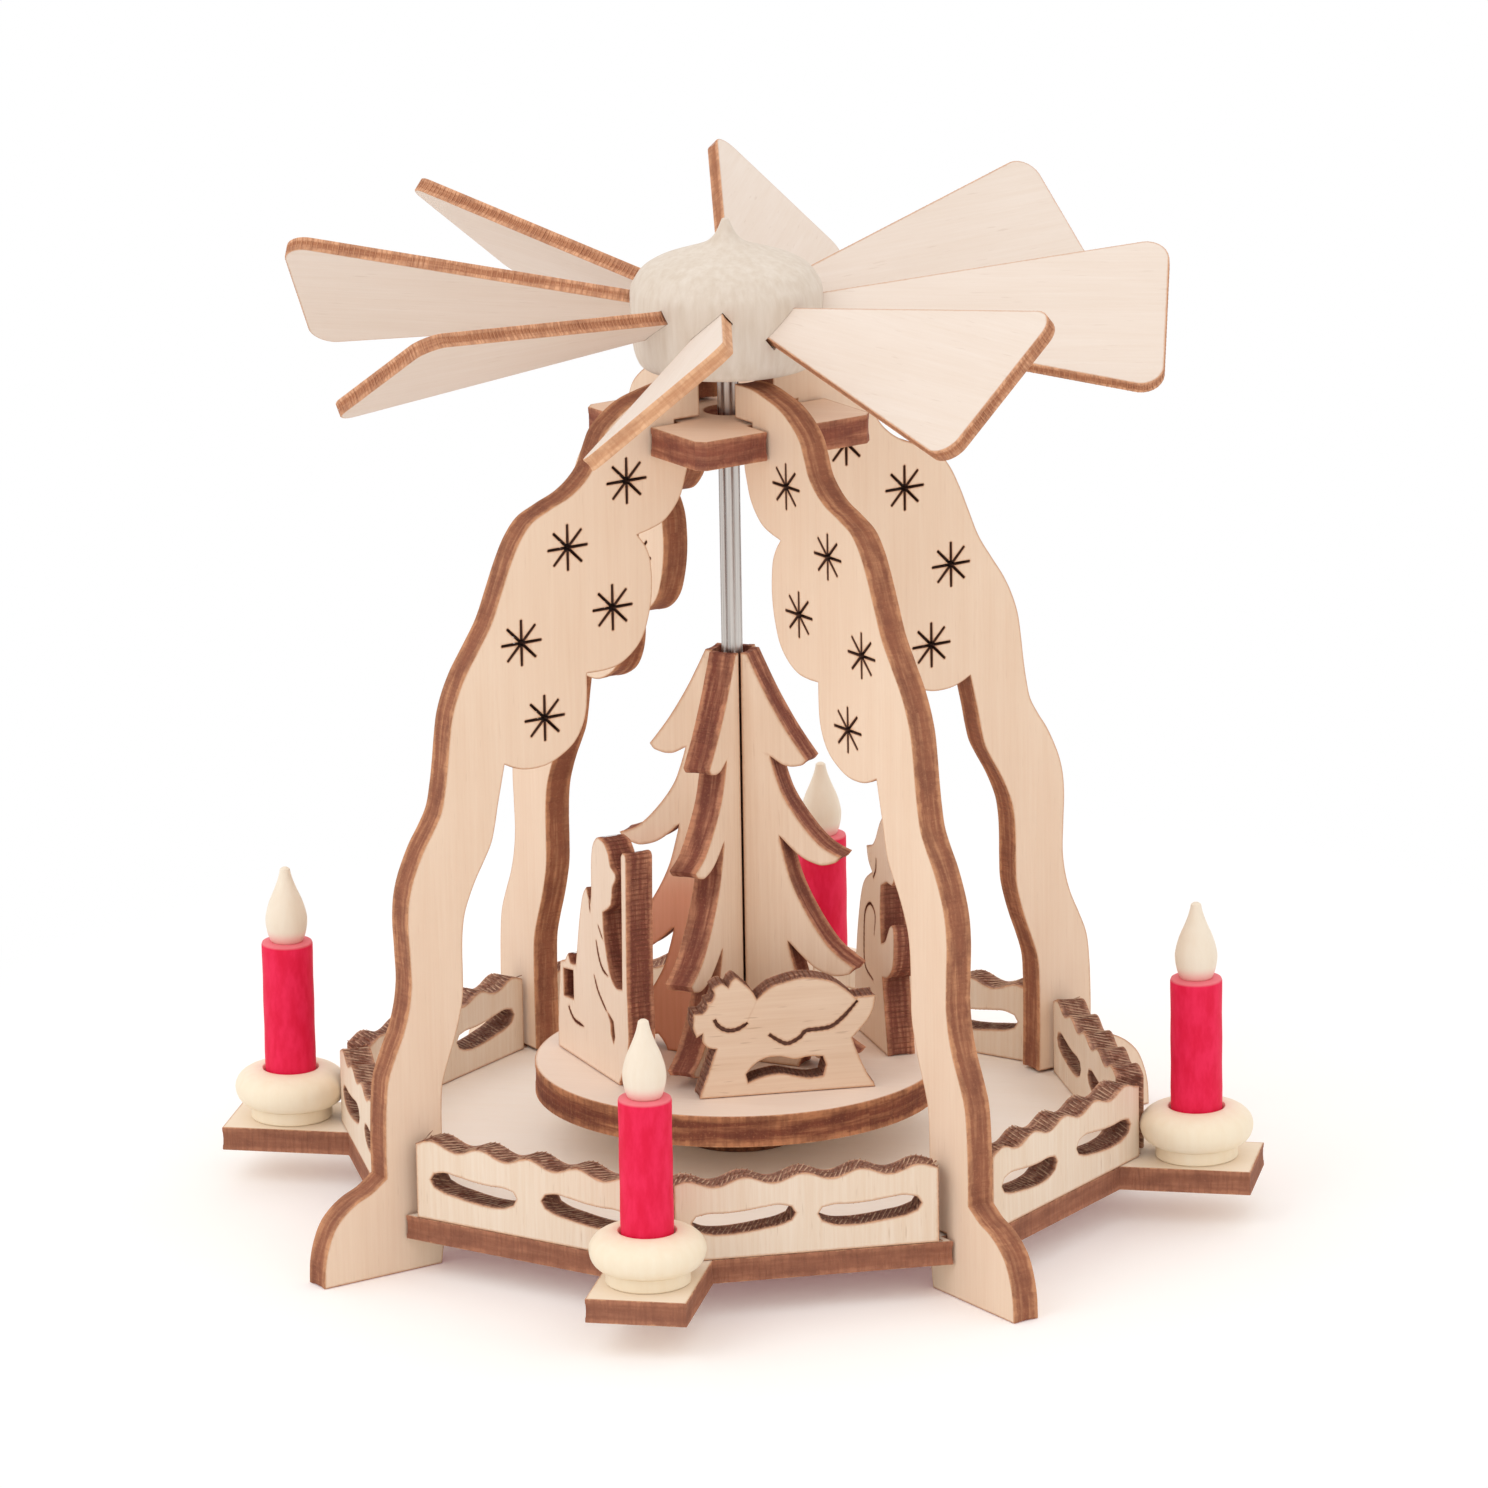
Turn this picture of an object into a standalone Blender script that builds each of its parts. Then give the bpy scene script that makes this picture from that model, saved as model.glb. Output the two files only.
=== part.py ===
"""A table-top Christmas pyramid with a wind wheel, cut from thin plywood.

Four legs stand on the corners of an eight-sided base plate and hold a small square top plate.
A steel shaft turns in a cup on the base plate and in the top plate's hole. It carries the hub with
its eight blades above, and below it the round turntable with a tree, a manger and two figures.
Four turned candles stand in rings on the tabs of the base plate, and eight fence panels edge it.

The model stands on Z = 0 with its shaft on the Z axis and its front towards -Y, in metres.
"""

import math

import bmesh
import bpy
from mathutils import Vector

MM = 0.001

# Plywood thicknesses
BASE_PLY = 2.5 * MM
LEG_PLY = 3.0 * MM
TOP_PLY = 3.0 * MM
FENCE_PLY = 3.0 * MM
TURNTABLE_PLY = 3.3 * MM
TREE_PLY = 3.0 * MM
FIGURE_PLY = 3.0 * MM
BLADE_PLY = 1.5 * MM

# Clearance left for glue where one piece seats on or in another, and round the turning shaft
SEAT_GAP = 0.25 * MM
RUNNING_GAP = 0.35 * MM

# Base plate: an octagon with a corner towards each leg and each tab
SIDES = 8
BASE_CORNER_R = 43.2 * MM
BASE_UNDER_Z = 3.65 * MM
TAB_WIDTH = 10.4 * MM
TAB_LENGTH = 11.5 * MM
BASE_SLOT_DEPTH = 2.9 * MM

# Legs: points are measured outwards from the base plate's corner and up from the floor, in mm,
# for a plate of the drawn corner radius
LEG_AZIMUTHS = {"front_left": 225, "front_right": 315, "back_right": 45, "back_left": 135}
# How far each leg and its slots sit to the side of the diagonal, as in the photo
LEG_SIDE = {"front_left": 0, "front_right": -0.7 * MM, "back_right": 0, "back_left": -0.3 * MM}
DRAWN_CORNER = 43.2
LEG_HEIGHT = 88.1 * MM
LEG_FOOT = [(9.0, 0), (8.9, 2.3), (8.4, 4.4), (7.5, 6.3), (6.1, 7.7), (4.6, 8.6), (3.1, 9.2), (1.3, 10.4)]
LEG_OUTER = [
    (1.3, 10.4), (1.3, 15), (0.8, 20.8), (-1.2, 25.5), (-2.2, 30), (-2, 37), (-2.6, 40.8), (-4.3, 44.5),
    (-6.3, 47.8), (-7.2, 52.5), (-7.9, 57.5), (-9.6, 61.6), (-12.8, 66.5), (-15.3, 72.4), (-17.9, 76.3),
    (-22.8, 78.5), (-25.4, 80.8), (-27, 84.3), (-30.6, 86.9), (-35.6, 88.1),
]
LEG_HEEL = -5.2
LEG_COLUMN = -5.7
LEG_INNER = [(-5.6, 13.7), (-5.8, 19), (-7.3, 23.4), (-8.5, 27.8), (-8.6, 33), (-9, 36.7), (-10.5, 40.2),
             (-12.4, 43.6), (-13.3, 47.5), (-14.2, 51.5)]
LEG_LOW_LOBE = [(-14.2, 51.5), (-16.2, 50.7), (-19.4, 50.7), (-22.7, 52.5), (-24.2, 55.5), (-24.4, 59.5)]
LEG_MID_LOBE = [(-24.4, 59.5), (-28, 59.7), (-31.1, 62), (-32.5, 66.7), (-32.2, 71), (-30.9, 73.1)]
LEG_TOP_LOBE = [(-30.9, 73.1), (-34, 74), (-36.2, 76.4), (-37.2, 79.8)]
LEG_NECK = -38.7
STAR_PLACES = [(-29.6, 79), (-22.3, 73.1), (-27.6, 66), (-16.5, 64), (-19.1, 55.7)]
STAR_RAYS = 8
STAR_RAY = 2.45 * MM
STAR_WAIST = 0.38 * MM

# Top plate, a square turned so that each side faces a leg
TOP_PLATE_DROP = 3.9 * MM
TOP_BITE = 2.8 * MM
TOP_SLOT_DEPTH = 3.5 * MM
TOP_CORNER_CUT = 0.9 * MM
TOP_HOLE_R = 2.45 * MM

# Fence panels, two on each quarter of the plate, with a waved top and two slots each
FENCE_HEIGHT = 7.9 * MM
FENCE_WAVE = 0.4 * MM
FENCE_WAVE_PITCH = 6.0 * MM
FENCE_FIRST_CREST = 2.0 * MM
FENCE_LEG_GAP = 0.45 * MM
FENCE_MITRE_GAP = 0.8 * MM
FENCE_SLOT_LENGTH = 10.5 * MM
FENCE_SLOT_HEIGHT = 2.1 * MM
FENCE_SLOT_MARGIN = 1.9 * MM
FENCE_SLOT_Z = 3.8 * MM
FENCE_SLOT_BOW = 0.3 * MM

# Candles
CANDLE_AZIMUTHS = {"right": 0, "back": 90, "left": 180, "front": 270}
CANDLE_OUT = 5.1 * MM
HOLDER_R = 5.9 * MM
HOLDER_FOOT_R = 4.3 * MM
HOLDER_FOOT_HEIGHT = 1.3 * MM
HOLDER_HEIGHT = 5.2 * MM
HOLDER_SOCKET = 2.0 * MM
CANDLE_R = 2.7 * MM
CANDLE_LENGTH = 15.6 * MM
CANDLE_EDGE = 0.3 * MM
FLAME_R = 2.2 * MM
FLAME_FOOT_R = 1.75 * MM
FLAME_TIP_R = 0.45 * MM
FLAME_LENGTH = 7.8 * MM
FLAME_BELLY = 2.4 * MM
PEG_R = 0.9 * MM
PEG_LENGTH = 1.5 * MM

# Bearing on the base plate
BLOCK_R = 6.1 * MM
BLOCK_HEIGHT = 4.8 * MM
BLOCK_FLOOR = 1.2 * MM
CUP_R = 2.4 * MM
CUP_HEIGHT = 3.0 * MM
CUP_FLOOR = 1.0 * MM

# Rotor
SHAFT_R = 1.1 * MM
SHAFT_POINT = 1.0 * MM
TURNTABLE_LIFT = 0.4 * MM
TURNTABLE_R = 21.4 * MM
HUB_CLEARANCE = 1.0 * MM
HUB_R = 9.87 * MM
HUB_HEIGHT = 15.2 * MM
HUB_BORE = 9.0 * MM
HUB_SIDE = [(8.7, 0), (9.1, 0.4), (9.6, 1.9), (9.82, 4.8), (9.87, 7.75), (9.35, 9), (8.6, 10), (7.1, 10.9),
            (5.1, 11.6), (3.2, 12.2), (1.85, 12.8), (1, 13.7), (0.35, 15.2)]
BLADE_Z = 5.4 * MM
BLADE_REACH = 45.1 * MM
BLADE_TIP_WIDTH = 19.8 * MM
BLADE_ROOT_WIDTH = 4.4 * MM
BLADE_TANG = 2.5 * MM
BLADE_CORNER_R = 2.4 * MM
BLADE_FIRST = 3.5
BLADE_PITCH = 40.5
# Each blade was glued in by hand: its turn, extra pitch and lift in degrees
BLADE_HAND_SET = [(2.5, -1.5, -0.5), (-0.5, 5, 2.5), (0.5, 4, 3), (0.5, -1.5, 2.5),
                  (-3.5, 3, 1.5), (2, -8.5, 0), (-1.5, 0, 0), (0, 0, -0.5)]

# Tree: four half trees round the shaft. Here and below a piece's points are drawn in mm, up from the
# turntable, and scaled to the piece's height.
TREE_HEIGHT = 43.8 * MM
TREE_AZIMUTHS = {"right": -14.5, "front": -104.5, "left": 165.5, "back": 75.5}
TREE_RUNS = [
    [(2.4, 43.5), (4.5, 39.4), (6.8, 35.7), (9, 32.8)],
    [(8.5, 32.2), (7.4, 31.9), (6.2, 32), (4.9, 32.7)],
    [(4.9, 32.7), (6.2, 29), (8.4, 25.9), (10.6, 23.8), (12.7, 22.9)],
    [(12.1, 22.2), (10.5, 21.7), (8.5, 22.2), (7, 23.2), (5.8, 24.3)],
    [(5.8, 24.3), (7, 20), (8.9, 16.3), (11.4, 13), (14.1, 11.2)],
    [(13.5, 10.4), (11.8, 10), (9.8, 10.5), (8, 11.8), (6.6, 13.1)],
    [(6.6, 13.1), (7.8, 9), (9.8, 5.6), (12, 3.1), (14, 1.9)],
    [(13.4, 1.2), (11.5, 0.8), (9.6, 1), (8.6, 1.4), (7.6, 0)],
]

# Manger and figures: points run along the piece's seen face.
# The place of each is its middle's azimuth and distance in from the rim, its turn, and on which side of
# the seen face the board lies, in degrees.
MANGER_HEIGHT = 12.6 * MM
MANGER_AZIMUTH = -58.4
MANGER_INSET = 6.9 * MM
MANGER_TURN = 22.2
MANGER_BEHIND = 90
MANGER_MIDDLE = 9.55
MANGER_RUNS = [
    [(0.2, 0), (1, 2.2), (1.7, 4.2), (2, 5)],
    [(2, 5), (1.2, 5.2), (0.6, 5.9), (0.6, 6.7)],
    [(0, 6.3), (-0.4, 7.5), (-0.3, 9)],
    [(0.6, 9), (1.1, 9.5), (1.1, 10.1)],
    [(1.6, 10.2), (1.9, 10.9), (1.7, 11.5)],
    [(2.2, 11.9), (2.8, 12.1), (3.4, 11.7)],
    [(3.8, 12.4), (4.3, 12.6), (5.1, 11.9), (5.9, 11.1), (6.4, 10.2)],
    [(6.4, 10.2), (7.8, 11.3), (9.4, 11.8), (11.1, 12.1), (13, 11.9), (14.7, 11.3), (16, 10.3),
     (16.7, 9.6)],
    [(18.9, 9.7), (18.7, 8.3), (17.9, 6.8), (16.4, 5.2)],
    [(16.4, 5.2), (17.1, 3.2), (18.1, 1), (18.8, 0)],
]
MANGER_SLOT = [
    (5.2, 2.1), (5.9, 2.9), (7.1, 3.6), (8.7, 3.7), (10.3, 3.3), (11.8, 3.5), (13.2, 3.4),
    (13.5, 2.5), (13.2, 1.4), (12, 1.3), (10.8, 1.5), (8.7, 2), (6.6, 1.7), (5.4, 1.3),
]

STAFF_HEIGHT = 25.4 * MM
STAFF_AZIMUTH = -157.7
STAFF_INSET = 5.5 * MM
STAFF_TURN = -54.3
STAFF_BEHIND = 90
STAFF_MIDDLE = 8
STAFF_RUNS = [
    [(0, 0), (0, 2.6), (0.3, 5), (0.7, 8.2), (0.9, 9.4)],
    [(2.1, 9.8), (3, 10.8), (3.6, 9.9), (4.9, 10.1)],
    [(4.9, 10.1), (5.4, 12.2), (6.1, 15.3), (7.1, 18.2), (8.1, 19.3)],
    [(9, 17.7), (9.3, 19.3), (9.4, 22), (9.9, 24.2), (11.2, 25.4), (13, 25.2)],
    [(13, 25.2), (14, 24.3), (14.5, 23.1), (15.7, 22.6), (15.7, 21.8), (14.9, 20.8), (14.4, 18.8),
     (12.3, 17.5)],
    [(12.3, 17.5), (12.5, 15.3), (13.1, 13.3), (13.7, 11.7), (14.4, 10.8), (15.4, 10.3), (16.8, 10.5)],
    [(16.8, 10.5), (17, 18), (17.1, 24.7)],
    [(17.5, 25.3), (18.2, 25.3), (18.5, 24.8)],
    [(18.5, 24.8), (18.3, 18), (18.2, 11.1), (18.3, 4.8), (17, 1.9), (15.8, 0)],
]
LANTERN_HOLE = [(1.8, 5.9), (4.2, 6.1), (4.2, 9.1), (1.8, 8.7)]
ROBE_SLIT = [(13.1, 6.9), (14.4, 6.3), (14.7, 4.8), (14.4, 4.1), (13.9, 4.9), (13.8, 6)]

KNEELER_HEIGHT = 26.0 * MM
KNEELER_AZIMUTH = 19.8
KNEELER_INSET = 6.8 * MM
KNEELER_TURN = 118
KNEELER_BEHIND = -90
KNEELER_MIDDLE = 3.95
KNEELER_RUNS = [
    [(11.5, 0), (11.1, 5.2), (10.6, 8.7), (9.8, 12.2), (8.6, 15.5), (7.2, 17.3), (4.9, 18.6)],
    [(6, 19.4), (6.7, 21)],
    [(6.7, 21), (4.6, 21.7), (3.4, 22.8), (2, 24.7), (0.2, 26), (-1.7, 25.5), (-2.7, 23.9)],
    [(-2.7, 23.9), (-3, 22.4), (-3.5, 21.6), (-2.9, 21.1), (-2.8, 19.8), (-1.9, 18.8), (-0.2, 18.7),
     (1.8, 17.8)],
    [(1.8, 17.8), (2.1, 15), (1.9, 11.7)],
    [(1.9, 11.7), (0.6, 12.3), (-1.1, 14.3), (-2.3, 14.4), (-2.4, 12), (-1.8, 9.8), (0, 8.3), (1.6, 7.9)],
    [(1.6, 7.9), (0.8, 4), (0, 0)],
]

# How finely curves are drawn
CURVE_STEPS = 2
TURNED_STEPS = 28
DISC_STEPS = 72

# Places worked out from the sizes above
TURN = 2 * math.pi
SIDE_TILT = math.pi / SIDES
BASE_TOP_Z = BASE_UNDER_Z + BASE_PLY
TOP_PLATE_TOP_Z = LEG_HEIGHT - TOP_PLATE_DROP
TOP_PLATE_UNDER_Z = TOP_PLATE_TOP_Z - TOP_PLY
LEG_SPREAD = BASE_CORNER_R / DRAWN_CORNER
LEG_STRETCH = LEG_HEIGHT / LEG_OUTER[-1][1]
TOP_JOINT_OUT = LEG_NECK * LEG_SPREAD + TOP_BITE
TOP_JOINT_R = BASE_CORNER_R + TOP_JOINT_OUT
HOLDER_Z = BASE_TOP_Z + SEAT_GAP
CANDLE_Z = HOLDER_Z + HOLDER_HEIGHT - HOLDER_SOCKET + SEAT_GAP
CANDLE_TOP_Z = CANDLE_Z + CANDLE_LENGTH
BLOCK_Z = BASE_TOP_Z + SEAT_GAP
CUP_Z = BLOCK_Z + BLOCK_FLOOR + SEAT_GAP
SHAFT_TIP_Z = CUP_Z + CUP_FLOOR + RUNNING_GAP
TURNTABLE_UNDER_Z = BLOCK_Z + BLOCK_HEIGHT + TURNTABLE_LIFT
TURNTABLE_TOP_Z = TURNTABLE_UNDER_Z + TURNTABLE_PLY
SCENE_Z = TURNTABLE_TOP_Z + SEAT_GAP
HUB_Z = LEG_HEIGHT + HUB_CLEARANCE
SHAFT_TOP_Z = HUB_Z + HUB_BORE - SEAT_GAP
TREE_INNER_R = max(TREE_PLY / 2, SHAFT_R) + SEAT_GAP


def material(name, colour, roughness, metallic=0.0):
    """A plain finish in the piece's own colour."""
    made = bpy.data.materials.new(name)
    made.use_nodes = True
    shader = made.node_tree.nodes["Principled BSDF"]
    shader.inputs["Base Color"].default_value = (*colour, 1)
    shader.inputs["Roughness"].default_value = roughness
    shader.inputs["Metallic"].default_value = metallic
    made.diffuse_color = (*colour, 1)
    return made


def smooth(points):
    """Points of a curve that runs through every given point without a corner."""
    before = [2 * a - b for a, b in zip(points[0], points[1])]
    after = [2 * a - b for a, b in zip(points[-1], points[-2])]
    chain = [before, *points, after]
    curve = [tuple(points[0])]
    for spot in range(len(points) - 1):
        p, q, r, s = chain[spot:spot + 4]
        for step in range(1, CURVE_STEPS + 1):
            t = step / CURVE_STEPS
            curve.append(tuple(
                b + (c - a) * t / 2
                + (2 * a - 5 * b + 4 * c - d) * t ** 2 / 2
                + (3 * b - a - 3 * c + d) * t ** 3 / 2
                for a, b, c, d in zip(p, q, r, s)
            ))
    return curve


def drawn_scale(runs, height):
    """What turns the drawn points of a piece into metres so that it gets its height."""
    return height / max(y for run in runs for x, y in run)


def outline(runs, scale, shift=0.0):
    """One closed outline from drawn runs: smooth along each run, a corner where two meet."""
    loop = []
    for run in runs:
        for x, y in smooth(run):
            spot = ((x - shift) * scale, y * scale)
            if not loop or math.dist(spot, loop[-1]) > SEAT_GAP / 10:
                loop.append(spot)
    return loop


def link(name, mesh, finish, parent=None):
    """Turn a finished mesh into an object of that name, with its finish and its parent."""
    data = bpy.data.meshes.new(name)
    bmesh.ops.recalc_face_normals(mesh, faces=mesh.faces[:])
    mesh.to_mesh(data)
    mesh.free()
    data.materials.append(finish)
    piece = bpy.data.objects.new(name, data)
    piece.parent = parent
    bpy.context.scene.collection.objects.link(piece)
    return piece


def plate(name, loop, ply, finish, holes=(), parent=None):
    """A flat board cut to a closed outline with holes in it, centred on its own mid-plane."""
    mesh = bmesh.new()
    for ring in (loop, *holes):
        corners = [mesh.verts.new((x, y, -ply / 2)) for x, y in ring]
        for a, b in zip(corners, corners[1:] + corners[:1]):
            mesh.edges.new((a, b))
    bmesh.ops.triangle_fill(mesh, use_beauty=True, edges=mesh.edges[:])
    raised = bmesh.ops.extrude_face_region(mesh, geom=mesh.faces[:])
    corners = [part for part in raised["geom"] if isinstance(part, bmesh.types.BMVert)]
    bmesh.ops.translate(mesh, verts=corners, vec=(0, 0, ply))
    return link(name, mesh, finish, parent)


def turned(name, profile, finish, steps=TURNED_STEPS, parent=None):
    """A piece turned on the lathe from a profile of (radius, height) that starts and ends on the axis."""
    mesh = bmesh.new()
    line = [mesh.verts.new((radius, 0, height)) for radius, height in profile]
    edges = [mesh.edges.new(pair) for pair in zip(line, line[1:])]
    bmesh.ops.spin(mesh, geom=line + edges, cent=(0, 0, 0), axis=(0, 0, 1), angle=TURN, steps=steps,
                   use_merge=True)
    bmesh.ops.remove_doubles(mesh, verts=mesh.verts[:], dist=0.001 * MM)
    piece = link(name, mesh, finish, parent)
    piece.data.shade_smooth()
    piece.data.set_sharp_from_angle(angle=math.radians(35))
    return piece


def disc(radius, steps):
    """The points of a circle."""
    return [(radius * math.cos(TURN * k / steps), radius * math.sin(TURN * k / steps)) for k in range(steps)]


def stand_up(piece, place, azimuth):
    """Stand a board on its lower edge: its own X runs along the azimuth and its own Y points up."""
    piece.location = place
    piece.rotation_euler = (math.pi / 2, 0, math.radians(azimuth))


def on_plan(azimuth, radius, height=0.0):
    """The place at an azimuth in degrees and a distance from the shaft."""
    angle = math.radians(azimuth)
    return Vector((radius * math.cos(angle), radius * math.sin(angle), height))


def swung(points, angle):
    """Points of the plan turned about the shaft."""
    cos, sin = math.cos(angle), math.sin(angle)
    return [(x * cos - y * sin, x * sin + y * cos) for x, y in points]


def base_plate(finish):
    """The octagon, with an open slot at each leg's corner and a tab at each corner between them."""
    edge_back = math.tan(SIDE_TILT)
    slot_half = LEG_PLY / 2 + SEAT_GAP
    slot_r = BASE_CORNER_R - BASE_SLOT_DEPTH
    legs_round = sorted(LEG_AZIMUTHS, key=LEG_AZIMUTHS.get)
    tab_half = TAB_WIDTH / 2
    tab_root_r = BASE_CORNER_R - tab_half * edge_back
    tab_tip_r = BASE_CORNER_R + TAB_LENGTH
    loop = []
    for corner in range(SIDES):
        angle = TURN * corner / SIDES
        if corner % 2:
            side = LEG_SIDE[legs_round[corner // 2]]
            low, high = side - slot_half, side + slot_half
            local = [(BASE_CORNER_R + low * edge_back, low), (slot_r, low), (slot_r, high),
                     (BASE_CORNER_R - high * edge_back, high)]
        else:
            local = [(tab_root_r, -tab_half), (tab_tip_r, -tab_half),
                     (tab_tip_r, tab_half), (tab_root_r, tab_half)]
        loop += swung(local, angle)
    piece = plate("base_plate", loop, BASE_PLY, finish)
    piece.location.z = BASE_UNDER_Z + BASE_PLY / 2


def star(x, y):
    """A star of thin rays cut round a point of the leg."""
    ring = []
    for spot in range(2 * STAR_RAYS):
        reach = STAR_WAIST if spot % 2 else STAR_RAY
        angle = math.pi * spot / STAR_RAYS
        ring.append((x + reach * math.cos(angle), y + reach * math.sin(angle)))
    return ring


def leg_shape():
    """A leg's outline and its star holes, outwards from the base plate's corner and up from the floor."""

    def run(points):
        return [(x * LEG_SPREAD, y * LEG_STRETCH) for x, y in smooth(points)]

    base_notch = (BASE_UNDER_Z - SEAT_GAP, BASE_TOP_Z + SEAT_GAP)
    base_joint = SEAT_GAP - BASE_SLOT_DEPTH
    top_notch = (TOP_PLATE_UNDER_Z - SEAT_GAP, TOP_PLATE_TOP_Z + SEAT_GAP)
    top_joint = TOP_JOINT_OUT + SEAT_GAP
    column = LEG_COLUMN * LEG_SPREAD
    neck = LEG_NECK * LEG_SPREAD
    loop = [(LEG_HEEL * LEG_SPREAD, 0)]
    loop += run(LEG_FOOT) + run(LEG_OUTER)[1:]
    loop += [(neck, LEG_HEIGHT), (neck, top_notch[1]), (top_joint, top_notch[1]),
             (top_joint, top_notch[0]), (LEG_TOP_LOBE[-1][0] * LEG_SPREAD, top_notch[0])]
    for lobe in (LEG_TOP_LOBE, LEG_MID_LOBE, LEG_LOW_LOBE, LEG_INNER):
        loop += run(lobe)[::-1][:-1]
    loop += [run(LEG_INNER)[0]]
    loop += [(column, base_notch[1]), (base_joint, base_notch[1]),
             (base_joint, base_notch[0]), (column, base_notch[0])]
    stars = [star(x * LEG_SPREAD, y * LEG_STRETCH) for x, y in STAR_PLACES]
    return loop, stars


def legs(finish):
    """Four legs, each standing in its corner slot with its plane through the shaft."""
    loop, stars = leg_shape()
    for name, azimuth in LEG_AZIMUTHS.items():
        piece = plate("leg_" + name, loop, LEG_PLY, finish, stars)
        stand_up(piece, on_plan(azimuth, BASE_CORNER_R) + on_plan(azimuth + 90, LEG_SIDE[name]), azimuth)


def top_plate(finish):
    """The square that the leg tops slide into, with the shaft's hole."""
    side_r = TOP_JOINT_R + TOP_SLOT_DEPTH
    slot_half = LEG_PLY / 2 + SEAT_GAP
    blunt = side_r - TOP_CORNER_CUT
    loop = []
    for name, azimuth in LEG_AZIMUTHS.items():
        angle = math.radians(azimuth)
        low, high = LEG_SIDE[name] - slot_half, LEG_SIDE[name] + slot_half
        local = [(side_r, -blunt), (side_r, low), (TOP_JOINT_R, low),
                 (TOP_JOINT_R, high), (side_r, high), (side_r, blunt)]
        loop += swung(local, angle)
    piece = plate("top_plate", loop, TOP_PLY, finish, [disc(TOP_HOLE_R, TURNED_STEPS)])
    piece.location.z = TOP_PLATE_UNDER_Z + TOP_PLY / 2


def fence_slot(start):
    """One long bowed slot of a fence panel."""
    half = FENCE_SLOT_LENGTH / 2
    count = 8
    upper = []
    lower = []
    for spot in range(count + 1):
        across = -math.cos(math.pi * spot / count)
        middle = FENCE_SLOT_Z + FENCE_SLOT_BOW * math.cos(math.pi * (across + 1) * 0.75)
        opening = FENCE_SLOT_HEIGHT / 2 * math.sqrt(max(0.0, 1 - across ** 6))
        upper.append((start + half + half * across, middle + opening))
        lower.append((start + half + half * across, middle - opening))
    return upper[::-1] + lower[1:-1]


def fence_shape(length):
    """A panel's outline with its waved top edge, from its leg end, and its two slots."""
    steps = 28
    loop = [(0, 0), (length, 0)]
    for spot in range(steps, -1, -1):
        along = length * spot / steps
        wave = math.cos(TURN * (along - FENCE_FIRST_CREST) / FENCE_WAVE_PITCH)
        loop.append((along, FENCE_HEIGHT + FENCE_WAVE * wave))
    last = length - FENCE_SLOT_MARGIN - FENCE_SLOT_LENGTH
    return loop, [fence_slot(FENCE_SLOT_MARGIN), fence_slot(last)]


def fences(finish):
    """Two panels on each side of every leg, flush with the plate's edge and mirrored about the leg."""
    side = 2 * BASE_CORNER_R * math.sin(SIDE_TILT)
    inward = FENCE_PLY * math.sin(SIDE_TILT)
    end = side - (FENCE_MITRE_GAP / 2 + inward) / math.cos(SIDE_TILT)
    for name, azimuth in LEG_AZIMUTHS.items():
        corner = on_plan(azimuth, BASE_CORNER_R, BASE_TOP_Z + SEAT_GAP)
        for label, way in (("a", 1), ("b", -1)):
            leg_side = LEG_PLY / 2 + way * LEG_SIDE[name]
            start = (leg_side + FENCE_LEG_GAP + inward) / math.cos(SIDE_TILT)
            loop, slots = fence_shape(end - start)
            middle = azimuth + way * math.degrees(SIDE_TILT)
            inwards = on_plan(middle + 180, FENCE_PLY / 2)
            along = on_plan(middle + way * 90, start)
            shape = [(way * x, y) for x, y in loop]
            cuts = [[(way * x, y) for x, y in slot] for slot in slots]
            piece = plate(f"fence_{name}_{label}", shape, FENCE_PLY, finish, cuts)
            stand_up(piece, corner + inwards + along, middle + 90)


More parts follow.
